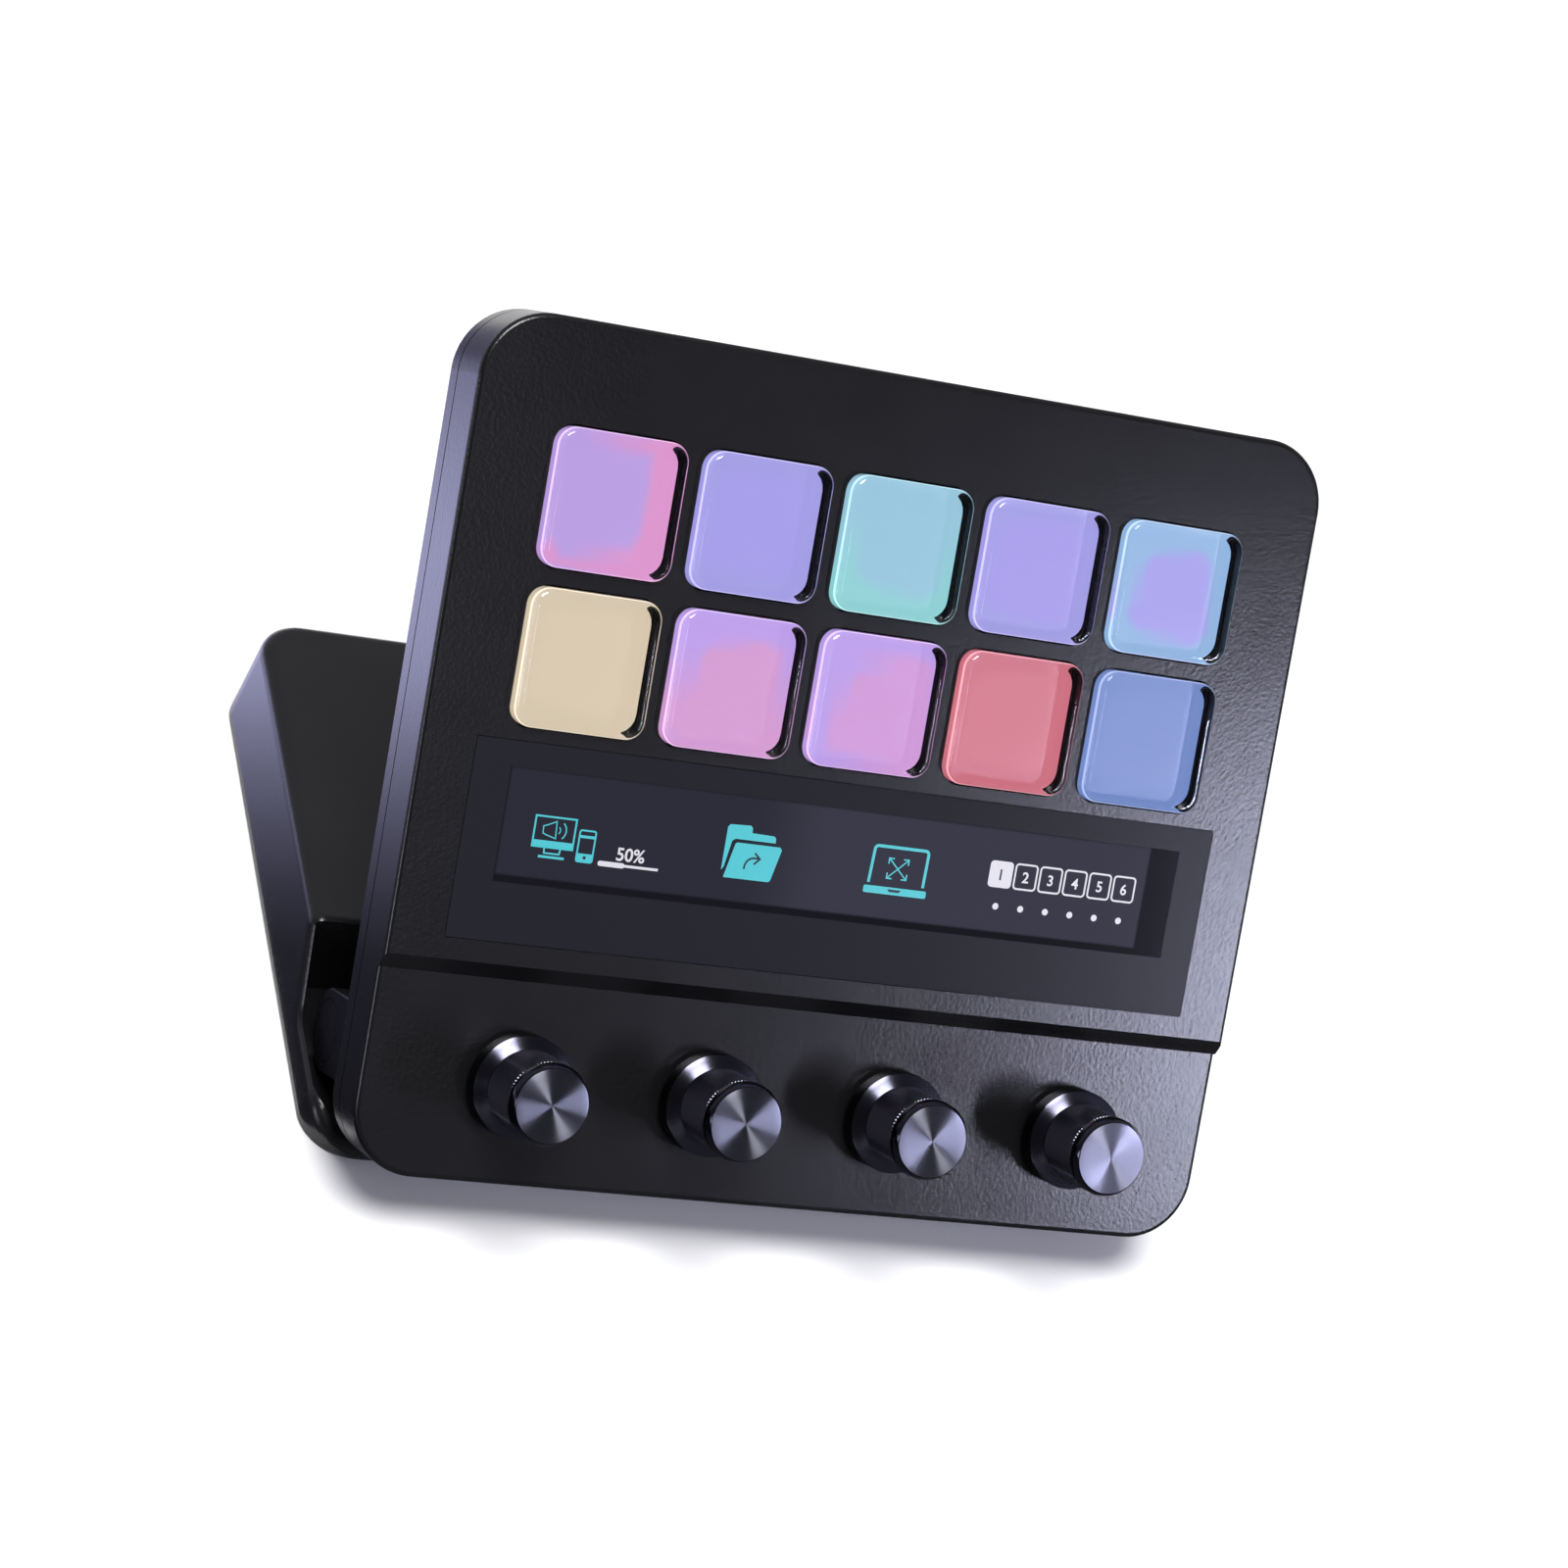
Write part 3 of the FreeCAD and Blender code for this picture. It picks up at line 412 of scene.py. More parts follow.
# The field's glow rises from the middle rightwards: that rise is a painted reflection over the
# display's own faint backlight.
painted_reflection_rise = spread(strip_glass, strip_x, PAINTED_REFLECTION_SPAN, (0, 1), soft=True)
backlight_and_painted_reflection = blend(strip_glass, painted_reflection_rise, linear(36, 36, 47), linear(52, 52, 65))
strip_sockets = principled(strip_glass).inputs
strip_sockets["Emission Strength"].default_value = 1.0
for socket, value in {
    "Emission Color": blend(strip_glass, field, (0, 0, 0), backlight_and_painted_reflection),
    "Base Color": blend(strip_glass, window, BORDER_COLOUR, WINDOW_COLOUR),
    "Roughness": spread(strip_glass, window, (0, 1), (SATIN, POLISHED)),
}.items():
    link(strip_glass, value, strip_sockets[socket])
field_size = [round(half * 2000, 1) for half in STRIP_FIELD[2:]]
print("the strip's lit field is", field_size[0], "by", field_size[1], "mm")

# %% [markdown]
# The nodes are the construction model's own pieces. Their shapes stay as they are, because
# they are the real ones: each only gets its finish, by name, from this list.

# %% Finishes on the nodes that stay
FINISH_OF = {
    "base_cover": paler_lit_stand_plastic, "base_floor": black_steel, "base_screws": bare_steel,
    "ballast_plate": weight_iron, "base_pad": silicone, "hinge_bracket_right": black_steel,
    "hinge_bracket_left": black_steel, "bracket_screws": bare_steel, "front_cover": case_plastic,
    "rear_cover": case_plastic, "panel_screws": black_steel, "cover_glass": strip_glass,
    "touch_display": screen_glass, "touch_display_flex": cable_foil, "dome_mat": silicone,
    "key_contact_frame": contact_foil, "key_display": screen_glass, "key_display_flex": cable_foil,
    "display_tray": bare_steel, "main_board": circuit_board, "usb_socket": bare_steel,
    "encoder_nuts": bare_steel, "hinge_arm_right": black_steel, "hinge_arm_left": black_steel,
    "arm_screws": bare_steel, "hinge_pin_right": black_steel, "hinge_pin_left": black_steel,
    "hinge_washers": bare_steel, "hinge_nuts": bare_steel,
}
for number in range(1, 5):
    FINISH_OF[f"encoder_body_{number}"] = bare_steel
    FINISH_OF[f"push_disc_{number}"] = knob_bush
    FINISH_OF[f"knob_shaft_{number}"] = bare_steel
    FINISH_OF[f"knob_insert_{number}"] = knob_bush
for name, material in FINISH_OF.items():
    nodes[name].data.materials.clear()
    nodes[name].data.materials.append(material)
print(len(FINISH_OF), "nodes have their finish")

# %% [markdown]
# The keys are clear blocks, and each one shows the patch of display under it. The picture
# here lies at the foot of the block and rides with the key, so no gap of air comes between
# them, which would turn to a mirror at a slant. A block is 5 mm thick: seen from the side
# the picture slides under one edge, and a dark band is left at the other, where the eye
# meets the unlit border and the black foot of the wall. The picture is a soft patch of one
# colour on another, worked out point by point and stored on the mesh.

# %% Lit pictures under the keys
KEY_PITCH = 22.7
KEY_TOP_ROW = 98.7
PICTURES = [
    (linear(181, 154, 220), linear(216, 146, 200), (-2.4, 3.0), (8.8, 14.0)),
    (linear(161, 152, 226), linear(158, 154, 222), (0.0, 0.0), (9.0, 9.0)),
    (linear(147, 193, 214), linear(138, 204, 206), (0.6, 4.2), (10.6, 12.4)),
    (linear(162, 152, 226), linear(157, 154, 222), (0.0, 0.0), (9.0, 9.0)),
    (linear(161, 156, 226), linear(142, 178, 218), (0.9, -1.2), (7.4, 8.4)),
    (linear(213, 197, 170), linear(209, 194, 168), (0.0, 0.0), (9.0, 9.0)),
    (linear(208, 152, 204), linear(184, 154, 226), (1.6, -4.0), (9.8, 10.8)),
    (linear(203, 150, 210), linear(182, 154, 226), (3.6, -3.4), (9.4, 11.2)),
    (linear(205, 115, 130), linear(199, 108, 124), (0.0, 0.0), (9.0, 9.0)),
    (linear(115, 137, 196), linear(110, 134, 192), (0.0, 0.0), (9.0, 9.0)),
]
PICTURE_HALF = 9.35
PICTURE_CORNER = 2.9
PICTURE_PLANE = -2.99
PICTURE_RINGS = 26
PICTURE_STRENGTH = 1.08


def key_place(number):
    """Middle of key 1 to 10 on the flat case, five to a row, upper row first."""
    row, column = divmod(number - 1, 5)
    return (column - 2) * KEY_PITCH, KEY_TOP_ROW - row * KEY_PITCH


def rounded_square(half, corner, steps=6):
    """Ring of points: each corner's middle plus the corner radius times (cos, sin)."""
    turn = np.linspace(0, math.pi / 2, steps)
    arcs = []
    for quarter, (sx, sy) in enumerate(((1, 1), (-1, 1), (-1, -1), (1, -1))):
        angle = turn + quarter * math.pi / 2
        arcs.append(np.stack([
            sx * (half - corner) + corner * np.cos(angle),
            sy * (half - corner) + corner * np.sin(angle),
        ], -1))
    return np.vstack(arcs)


def picture_colour(x, y, main, second, middle, radii):
    """Main inside a wobbling ellipse, second outside. Reach is the distance from its middle
    over its radius; from 0.86 to 1.08 the colour turns over as t t (3 - 2 t)."""
    angle = np.arctan2(y - middle[1], x - middle[0])
    reach = np.hypot((x - middle[0]) / radii[0], (y - middle[1]) / radii[1])
    reach = reach + 0.05 * np.sin(3 * angle + 1.0) + 0.03 * np.sin(5 * angle)
    t = np.clip((reach - 0.86) / 0.22, 0, 1)
    t = (t * t * (3 - 2 * t))[..., None]
    return np.asarray(main) * (1 - t) + np.asarray(second) * t


lit_picture = finish("lit_picture", (0.01, 0.01, 0.01), 0.3)
picture_light = node(lit_picture, "ShaderNodeAttribute", attribute_name="picture")
picture_sockets = principled(lit_picture).inputs
link(lit_picture, picture_light.outputs["Color"], picture_sockets["Emission Color"])
picture_sockets["Emission Strength"].default_value = PICTURE_STRENGTH


def paint(piece, name, colours):
    """A colour for each point of a piece, kept on its mesh under a name."""
    attribute = piece.data.color_attributes.new(name, "FLOAT_COLOR", "POINT")
    values = np.column_stack([colours, np.ones(len(colours))])
    attribute.data.foreach_set("color", values.astype(np.float32).ravel())


def lit_patch(number):
    """Sheet of nested rounded squares, from the picture's edge to its middle."""
    x0, y0 = key_place(number)
    ring = rounded_square(PICTURE_HALF, PICTURE_CORNER)
    flat = ring[None] * np.linspace(1, 0.02, PICTURE_RINGS)[:, None, None]
    height = np.full(flat.shape[:2] + (1,), PICTURE_PLANE)
    points = np.concatenate([flat + [x0, y0], height], -1)
    patch = skin(f"key_picture_{number}", lean(points), [lit_picture], sheet=True)
    flat = np.vstack([flat.reshape(-1, 2), [[0, 0], [0, 0]]])
    paint(patch, "picture", picture_colour(flat[:, 0], flat[:, 1], *PICTURES[number - 1]))
    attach(patch, f"key_{number}")
    return patch


patches = [lit_patch(number) for number in range(1, 11)]
print(len(patches), "lit pictures,", len(patches[0].data.polygons), "faces each")

# %% [markdown]
# The cap takes the place of the construction model's block and has its shape: a foot under
# the case, straight walls, and an upper edge rounded with a radius of 1 mm, on more and
# smoother rings, because every facet of a clear block shows as a crack. The foot is painted
# black up to 1 mm under the case's face. A real key has a thin pale outline, where light
# led up inside its walls leaves the block as the edge begins to bend. The render doesn't
# find that light by itself, so the first rings of the edge have a little light of their
# own: a pale tint of the colour at the picture's rim.

# %% Clear key caps
clear_key = finish("clear_key", (0.97, 0.96, 0.99), 0.01, Transmission_Weight=1.0, IOR=1.49)
gloss(clear_key, noise(clear_key, 200), 0.0, 0.03)
# The same black also lines the knobs' bore, the hollow under their skirt and the grooves beside
# the grip, where it is painted shade.
black_skirt_and_recess_shade = finish("black_skirt_and_recess_shade", linear(14, 14, 17), 0.35, Specular_IOR_Level=0.3)
gloss(black_skirt_and_recess_shade, noise(black_skirt_and_recess_shade, 600), 0.25, 0.45)
edge_glow = finish("edge_glow", (0.97, 0.96, 0.99), 0.04, Transmission_Weight=1.0, IOR=1.49)
gloss(edge_glow, noise(edge_glow, 200), 0.02, 0.06)
edge_light = node(edge_glow, "ShaderNodeAttribute", attribute_name="edge")
edge_sockets = principled(edge_glow).inputs
link(edge_glow, edge_light.outputs["Color"], edge_sockets["Emission Color"])
edge_sockets["Emission Strength"].default_value = 0.7
EDGE_TINT, EDGE_WHITE = 0.45, 0.35

CAP_HALF = 9.95
CAP_CORNER, CAP_CORNER_LEAST = 2.8, 0.9
CAP_TOP = 1.8
CAP_FOOT, FOOT_TOP = -3.0, -2.3
FOOT_OUT = 0.8
EDGE_RADIUS = 1.0
EDGE_STEPS = 13
WALL_BLACK = -1.0
EDGE_GLOW_ROWS = 4


def key_cap(number):
    """Rings from foot to top. On the rounded edge, inset = radius (1 - cos t) and height =
    top - radius (1 - sin t), with t from 0 to a quarter turn."""
    x0, y0 = key_place(number)
    t = np.linspace(0, math.pi / 2, EDGE_STEPS)
    levels = [(-FOOT_OUT, CAP_FOOT), (-FOOT_OUT, FOOT_TOP), (0.0, FOOT_TOP), (0.0, WALL_BLACK)]
    levels += zip(EDGE_RADIUS * (1 - np.cos(t)), CAP_TOP - EDGE_RADIUS * (1 - np.sin(t)))
    levels += [(EDGE_RADIUS + 0.2, CAP_TOP), (4.0, CAP_TOP), (7.0, CAP_TOP)]
    rings = []
    for inset, z in levels:
        ring = rounded_square(CAP_HALF - inset, max(CAP_CORNER - inset, CAP_CORNER_LEAST), 8)
        rings.append(np.column_stack([ring + [x0, y0], np.full(len(ring), z)]))
    black, plain, glowing = [1, 1, 1], [0], [2] * EDGE_GLOW_ROWS
    rows = black + plain + glowing
    rows += plain * (len(levels) - 1 - len(rows))
    finishes = [clear_key, black_skirt_and_recess_shade, edge_glow]
    cap = skin(f"clear_key_{number}", lean(np.array(rings)), finishes, rows, sharp=25)
    colour = EDGE_TINT * np.asarray(PICTURES[number - 1][1]) + EDGE_WHITE
    paint(cap, "edge", np.tile(colour, (len(cap.data.vertices), 1)))
    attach(cap, f"key_{number}")
    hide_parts(f"key_cap_{number}")
    return cap


caps = [key_cap(number) for number in range(1, 11)]
print(len(caps), "clear keys,", len(caps[0].data.polygons), "faces each")

# %% [markdown]
# Each knob is turned from aluminium and dyed dark. A lathe leaves circles too fine to see
# one by one, which draw every reflection out across them: the cone and the face show
# bright sectors, like the sheen on a disc. That is an anisotropic gloss, and its direction
# comes from a map laid round the knob. Noise that changes only outwards on the same map
# makes some circles a touch glossier than others. The rims between them are polished, and
# the grip is cut, so it has an even metal gloss.

# %% Knob finishes
CIRCLE_SCALE = 160
CIRCLE_GLOSS = 0.006


def spun(name, colour, roughness, strength):
    """Metal with its gloss drawn out across the turning circles that the map runs along."""
    material = finish(name, colour, roughness, 1.0,
                      Anisotropic=strength, Anisotropic_Rotation=0.25)
    tangent = node(material, "ShaderNodeTangent", direction_type="UV_MAP", uv_map="around")
    link(material, tangent.outputs["Tangent"], principled(material).inputs["Tangent"])
    around = node(material, "ShaderNodeUVMap", uv_map="around")
    outwards = node(material, "ShaderNodeMapping")
    outwards.inputs["Scale"].default_value = (0.0, 1.0, 0.0)
    circles = node(material, "ShaderNodeTexNoise")
    circles.inputs["Scale"].default_value = CIRCLE_SCALE
    circles.inputs["Detail"].default_value = 3
    link(material, around.outputs["UV"], outwards.inputs["Vector"])
    link(material, outwards.outputs["Vector"], circles.inputs["Vector"])
    gloss(material, circles.outputs["Fac"], roughness - CIRCLE_GLOSS, roughness + CIRCLE_GLOSS)
    return material


spun_face = spun("spun_face", linear(118, 119, 131), 0.32, 1.0)
spun_cone = spun("spun_cone", linear(84, 84, 97), 0.24, 0.8)
polished_rim = finish("polished_rim", linear(66, 66, 76), 0.12, 1.0)
gloss(polished_rim, noise(polished_rim, 1200, 2), 0.08, 0.16)
knurled_grip = finish("knurled_grip", linear(88, 88, 100), 0.28, 1.0)
gloss(knurled_grip, noise(knurled_grip, 2500, 2), 0.15, 0.24)
print("four metal finishes on each knob")

# %% [markdown]
# A knob is one profile carried round its axis: from the bore up and outwards over the
# skirt, in along the cone, up the grip and in over the face. Each row of the profile is a
# radius, a height over the case in millimetres and the finish from there on. The knurling
# is in the shape and not only in the finish, because it shows in the outline: two sets of
# grooves cross on the grip and leave a pyramid at every crossing. Four points across each
# groove are enough for straight flanks.

# %% Knob shape
KNOB_PITCH = 29.8
KNOB_Y = 15.0
GRIP_RADIUS = 5.95
KNURLS = 72
KNURL_DEPTH = 0.22
KNURL_LOW, KNURL_HIGH = 2.95, 11.1
POINTS_PER_KNURL = 4
AROUND = KNURLS * POINTS_PER_KNURL
MAP_HEIGHT = 40
GRIP_FOOT = GRIP_RADIUS - KNURL_DEPTH

knurl_width = 2 * math.pi * GRIP_RADIUS / KNURLS
KNURLS_UP = round((KNURL_HIGH - KNURL_LOW) / knurl_width)
grip_heights = np.linspace(KNURL_LOW, KNURL_HIGH, KNURLS_UP * POINTS_PER_KNURL + 1).tolist()
# The bore, the hollow under the skirt and the grooves at both ends of the grip take the black
# finish, as painted shade in these recesses.
FACE, CONE, RIM, GRIP, PAINTED_SHADE = range(5)
PROFILE = [
    (4.4, 10.5, PAINTED_SHADE), (4.4, 1.0, PAINTED_SHADE), (6.4, 1.0, PAINTED_SHADE), (6.4, -1.0, RIM), (7.5, -1.0, RIM),
    (7.6, -0.9, RIM), (7.6, 1.42, RIM), (7.58, 1.50, RIM), (7.5, 1.55, CONE),
    (6.9, 1.80, CONE), (6.3, 2.09, CONE), (5.75, 2.36, RIM), (5.68, 2.40, RIM),
    (5.55, 2.42, PAINTED_SHADE), (5.55, 2.80, PAINTED_SHADE), (GRIP_FOOT, 2.80, GRIP),
]
PROFILE += [(GRIP_RADIUS, height, GRIP) for height in grip_heights]
PROFILE += [
    (GRIP_FOOT, 11.2, PAINTED_SHADE), (5.55, 11.2, PAINTED_SHADE), (5.55, 11.62, RIM), (5.87, 11.62, RIM),
    (5.95, 11.70, RIM), (5.95, 12.46, RIM), (5.92, 12.58, RIM), (5.50, 13.30, RIM),
    (5.42, 13.37, RIM), (5.34, 13.39, FACE), (4.2, 13.39, FACE), (2.8, 13.39, FACE),
    (1.4, 13.39, FACE), (0.5, 13.39, FACE), (0.16, 13.36, FACE), (0.04, 13.35, FACE),
]


def triangle(phase):
    """Wave from 0 at whole phases to 1 half way between them, in straight lines."""
    return 1 - np.abs(2 * (phase % 1) - 1)


def knob_shell(number):
    """Radius = grip radius - depth (1 - the lower of two crossing triangle waves) on the grip,
    and the profile's own radius elsewhere."""
    profile_radius, profile_height, finish_of_row = zip(*PROFILE)
    radius = np.array(profile_radius)[:, None]
    height = np.array(profile_height)[:, None]
    angle = (np.arange(AROUND) / AROUND * 2 * math.pi)[None]
    knurled = np.isclose(radius, GRIP_RADIUS) & (np.array(finish_of_row)[:, None] == GRIP)
    turns = KNURLS * angle / (2 * math.pi)
    climb = (height - KNURL_LOW) / (KNURL_HIGH - KNURL_LOW) * KNURLS_UP
    pyramid = np.minimum(triangle(turns + climb), triangle(turns - climb))
    radius = np.where(knurled, radius - KNURL_DEPTH * (1 - pyramid), radius)
    x0 = (number - 2.5) * KNOB_PITCH
    x, y = x0 + radius * np.cos(angle), KNOB_Y + radius * np.sin(angle)
    points = np.stack([x, y, height + 0 * angle], -1)
    steps = np.hypot(np.diff(profile_radius), np.diff(profile_height))
    along = np.concatenate([[0], np.cumsum(steps)]) / MAP_HEIGHT
    shell = skin(
        f"turned_knob_{number}", lean(points),
        [spun_face, spun_cone, polished_rim, knurled_grip, black_skirt_and_recess_shade], finish_of_row[:-1],
        uv=lambda i, j: (j / AROUND, along[i]), sharp=24,
    )
    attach(shell, f"knob_{number}")
    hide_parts(f"knob_shell_{number}")
    return shell


knobs = [knob_shell(number) for number in range(1, 5)]
print(len(knobs), "knobs,", len(knobs[0].data.polygons), "faces each")

# %% [markdown]
# The strip shows a few plain signs. They are flat shapes of light a hundredth of a
# millimetre above the glass, which keeps them sharp at any distance, where a picture would
# blur. This cell has the tools: outlines are in millimetres, right and down from the
# strip's upper left corner, 14 mm in from the case's left edge and 64 mm down from its upper
# one. Strokes are ribbons: each point steps to both sides, square to the line through it.

# %% Flat shapes of light
CASE_WIDTH, CASE_TOP = 136.0, 123.5
STRIP_CORNER = (14.0 - CASE_WIDTH / 2, CASE_TOP - 64.0)
LEAST_MITRE = 0.4
FIGURE_BOLDNESS = 0.018


def on_strip(points):
    """Millimetres on the flat case, from millimetres right and down on the strip."""
    points = np.asarray(points, float)
    return np.column_stack([STRIP_CORNER[0] + points[:, 0], STRIP_CORNER[1] - points[:, 1]])


def ribbon(path, width, loop=False):
    """Outline pairs: each point plus and minus half the width along the mitred normal, whose
    length is one over the cosine of half the bend."""
    path = np.asarray(path, float)
    ahead = np.roll(path, -1, 0) - path
    behind = path - np.roll(path, 1, 0)
    if not loop:
        ahead[-1] = behind[-1]
        behind[0] = ahead[0]
    ahead /= np.linalg.norm(ahead, axis=1, keepdims=True)
    behind /= np.linalg.norm(behind, axis=1, keepdims=True)
    middle = ahead + behind
    middle /= np.linalg.norm(middle, axis=1, keepdims=True)
    reach = width / 2 / np.clip((middle * ahead).sum(1, keepdims=True), LEAST_MITRE, 1)
    normal = np.stack([-middle[:, 1], middle[:, 0]], -1) * reach
    left, right = path + normal, path - normal
    count = len(path) if loop else len(path) - 1
    step = np.arange(count)
    following = (step + 1) % len(path)
    quads = np.stack([step, following, following + len(path), step + len(path)], -1)
    return np.vstack([left, right]), quads.tolist()


def filled(outline):
    """Polygon cut into triangles."""
    flat = [[Vector((x, y, 0)) for x, y in outline]]
    return np.asarray(outline, float), [list(t) for t in tessellate_polygon(flat)]


def arc(x, y, radius, first, last, steps=12):
    """Points round a middle, from one angle to another in degrees, clockwise on the strip."""
    angle = np.radians(np.linspace(first, last, steps))
    return np.column_stack([x + radius * np.cos(angle), y + radius * np.sin(angle)])


def rounded_box(left, top, right, low, corner, steps=5):
    """Outline of a box with round corners."""
    return np.vstack([
        arc(right - corner, low - corner, corner, 0, 90, steps),
        arc(left + corner, low - corner, corner, 90, 180, steps),
        arc(left + corner, top + corner, corner, 180, 270, steps),
        arc(right - corner, top + corner, corner, 270, 360, steps),
    ])


def figures(text, x, y, height):
    """Digits as a mesh of the built-in typeface, scaled to a height and centred on x and y."""
    curve = bpy.data.curves.new("figures", "FONT")
    curve.body = text
    curve.offset = FIGURE_BOLDNESS
    holder = bpy.data.objects.new("figures", curve)
    mesh = bpy.data.meshes.new_from_object(holder)
    flat = np.array([v.co[:2] for v in mesh.vertices], float)
    faces = [list(p.vertices) for p in mesh.polygons]
    bpy.data.objects.remove(holder)
    bpy.data.curves.remove(curve)
    bpy.data.meshes.remove(mesh)
    low, high = flat.min(0), flat.max(0)
    flat = (flat - (low + high) / 2) * height / (high[1] - low[1])
    return np.column_stack([x + flat[:, 0], y - flat[:, 1]]), faces


print("shapes are ribbons, filled outlines and figures")

# %% [markdown]
# The signs, from the left: a screen with a loudspeaker and a telephone beside a level bar,
# a folder with an arrow, a laptop with four arrows, and six numbered tiles with a dot under
# each. All shapes of one colour are joined into one flat mesh, so the strip has three
# pieces: the coloured signs, the white ones, and the dark marks that lie on top of both.

# %% The signs on the strip
SIGN_HEIGHT, MARK_HEIGHT = 0.010, 0.016


def screen_and_telephone():
    """Screen with a loudspeaker on it, its foot, and a telephone beside it."""
    loudspeaker = [(6.35, 7.1), (6.85, 6.95), (8.25, 6.3), (8.4, 8.75), (6.95, 8.35), (6.4, 8.15)]
    return [
        ribbon([(5.03, 5.73), (11.2, 5.73), (11.2, 10.1), (5.03, 10.1)], 0.27, loop=True),
        filled([(4.95, 9.15), (11.3, 9.15), (11.3, 10.22), (4.95, 10.22)]),
        ribbon([(6.95, 10.25), (7.0, 10.95), (9.3, 10.95), (9.4, 10.25)], 0.25),
        ribbon([(6.2, 11.48), (10.15, 11.48)], 0.36),
        ribbon(loudspeaker, 0.17, loop=True),
        ribbon(arc(8.35, 7.55, 0.62, -50, 50), 0.16),
        ribbon(arc(8.35, 7.55, 1.5, -48, 48), 0.2),
        ribbon(rounded_box(11.98, 7.08, 14.42, 11.58, 0.3), 0.25, loop=True),
        ribbon([(12.0, 7.98), (14.4, 7.98)], 0.4),
        filled([(12.0, 10.4), (14.4, 10.4), (14.4, 11.6), (12.0, 11.6)]),
    ]


def folder():
    """Back leaf with its tab, and the tilted front leaf."""
    back = [(34.4, 10.3), (34.4, 4.0), (34.75, 3.58), (38.0, 3.45), (38.3, 3.8), (38.35, 4.5),
            (41.9, 4.6), (42.2, 4.9), (42.25, 5.6), (35.9, 5.6), (35.4, 5.95), (34.75, 9.8)]
    front = [(34.9, 11.33), (36.0, 6.3), (36.3, 6.1), (43.1, 6.1), (43.42, 6.5), (42.35, 11.1),
             (42.0, 11.33)]
    return [filled(back), filled(front)]


def laptop():
    """Open lid, body, and four arrows to the corners."""
    lid = np.vstack([[(57.95, 9.5)], arc(58.7, 4.55, 0.55, 180, 270, 5),
                     arc(66.4, 4.55, 0.55, 270, 360, 5), [(66.85, 9.5)]])
    shapes = [ribbon(lid, 0.46), filled(rounded_box(57.3, 9.95, 67.55, 11.05, 0.25))]
    middle_x, middle_y = 62.33, 7.15
    stroke, head = 0.2, 0.85
    for sx in (-1, 1):
        for sy in (-1, 1):
            x, y = middle_x + sx * 1.6, middle_y + sy * 1.5
            shapes.append(ribbon([(middle_x, middle_y), (x, y)], stroke))
            shapes.append(ribbon([(x - sx * head, y), (x, y), (x, y - sy * head)], stroke))
    return shapes


TILE_PITCH = 4.175
TILE_LEFT, TILE_TOP = 77.3, 4.05
TILE_WIDTH, TILE_HEIGHT = 3.86, 4.0
TILE_STROKE = 0.13
TILE_FIGURE = 1.65


def tiles():
    """Six square outlines with their figures, the first one filled, and a dot under each."""
    shapes, dark = [], []
    low = TILE_TOP + TILE_HEIGHT
    for place in range(6):
        left = TILE_LEFT + place * TILE_PITCH
        right = left + TILE_WIDTH
        middle = left + TILE_WIDTH / 2
        figure = figures(str(place + 1), middle, 6.1, TILE_FIGURE)
        if place == 0:
            shapes.append(filled(rounded_box(left, TILE_TOP, right, low, 0.6)))
            dark.append(figure)
        else:
            path = rounded_box(left + TILE_STROKE, TILE_TOP + TILE_STROKE,
                               right - TILE_STROKE, low - TILE_STROKE, 0.5)
            shapes.append(ribbon(path, 0.28, loop=True))
            shapes.append(figure)
        shapes.append(filled(arc(middle + 0.02, 10.87, 0.5, 0, 350, 20)))
    return shapes, dark


def level():
    """The bar's value and the bar, thick up to the value."""
    return [
        figures("50%", 20.2, 9.85, 1.95),
        filled(rounded_box(15.35, 11.1, 19.5, 11.85, 0.35)),
        ribbon([(19.4, 11.48), (24.7, 11.48)], 0.38),
    ]


def lit(name, colour):
    """Light of one colour, an eighth weaker in places, as a display's dots are."""
    material = finish(name, (0.01, 0.01, 0.01), 0.4)
    sockets = principled(material).inputs
    sockets["Emission Strength"].default_value = 1.0
    ramp = node(material, "ShaderNodeValToRGB")
    ramp.color_ramp.elements[0].color = (*[0.88 * c for c in colour], 1)
    ramp.color_ramp.elements[1].color = (*colour, 1)
    link(material, noise(material, 4000, 1), ramp.inputs["Fac"])
    link(material, ramp.outputs["Color"], sockets["Emission Color"])
    return material


cyan_light = lit("cyan_light", linear(72, 200, 212))
white_light = lit("white_light", linear(226, 224, 234))
dark_sign = finish("dark_sign", linear(26, 40, 46), 0.5)
gloss(dark_sign, noise(dark_sign, 900), 0.4, 0.6)


def sign(name, shapes, material, z):
    """All shapes of one colour joined into a flat mesh at height z. A face whose signed area,
    half the sum of x times the next y less y times the next x, is negative is turned over."""
    corners, faces, start = [], [], 0
    for points, parts in shapes:
        flat = on_strip(points)
        corners.append(flat)
        for part in parts:
            x, y = flat[part].T
            area = np.dot(x, np.roll(y, -1)) - np.dot(y, np.roll(x, -1))
            order = part if area > 0 else part[::-1]
            faces.append([start + k for k in order])
        start += len(points)
    flat = np.vstack(corners)
    mesh = bpy.data.meshes.new(name)
    mesh.from_pydata(lean(np.column_stack([flat, np.full(len(flat), z)])).tolist(), [], faces)
    mesh.materials.append(material)
    piece = bpy.data.objects.new(name, mesh)
    bpy.context.scene.collection.objects.link(piece)
    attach(piece, "panel")
    return piece


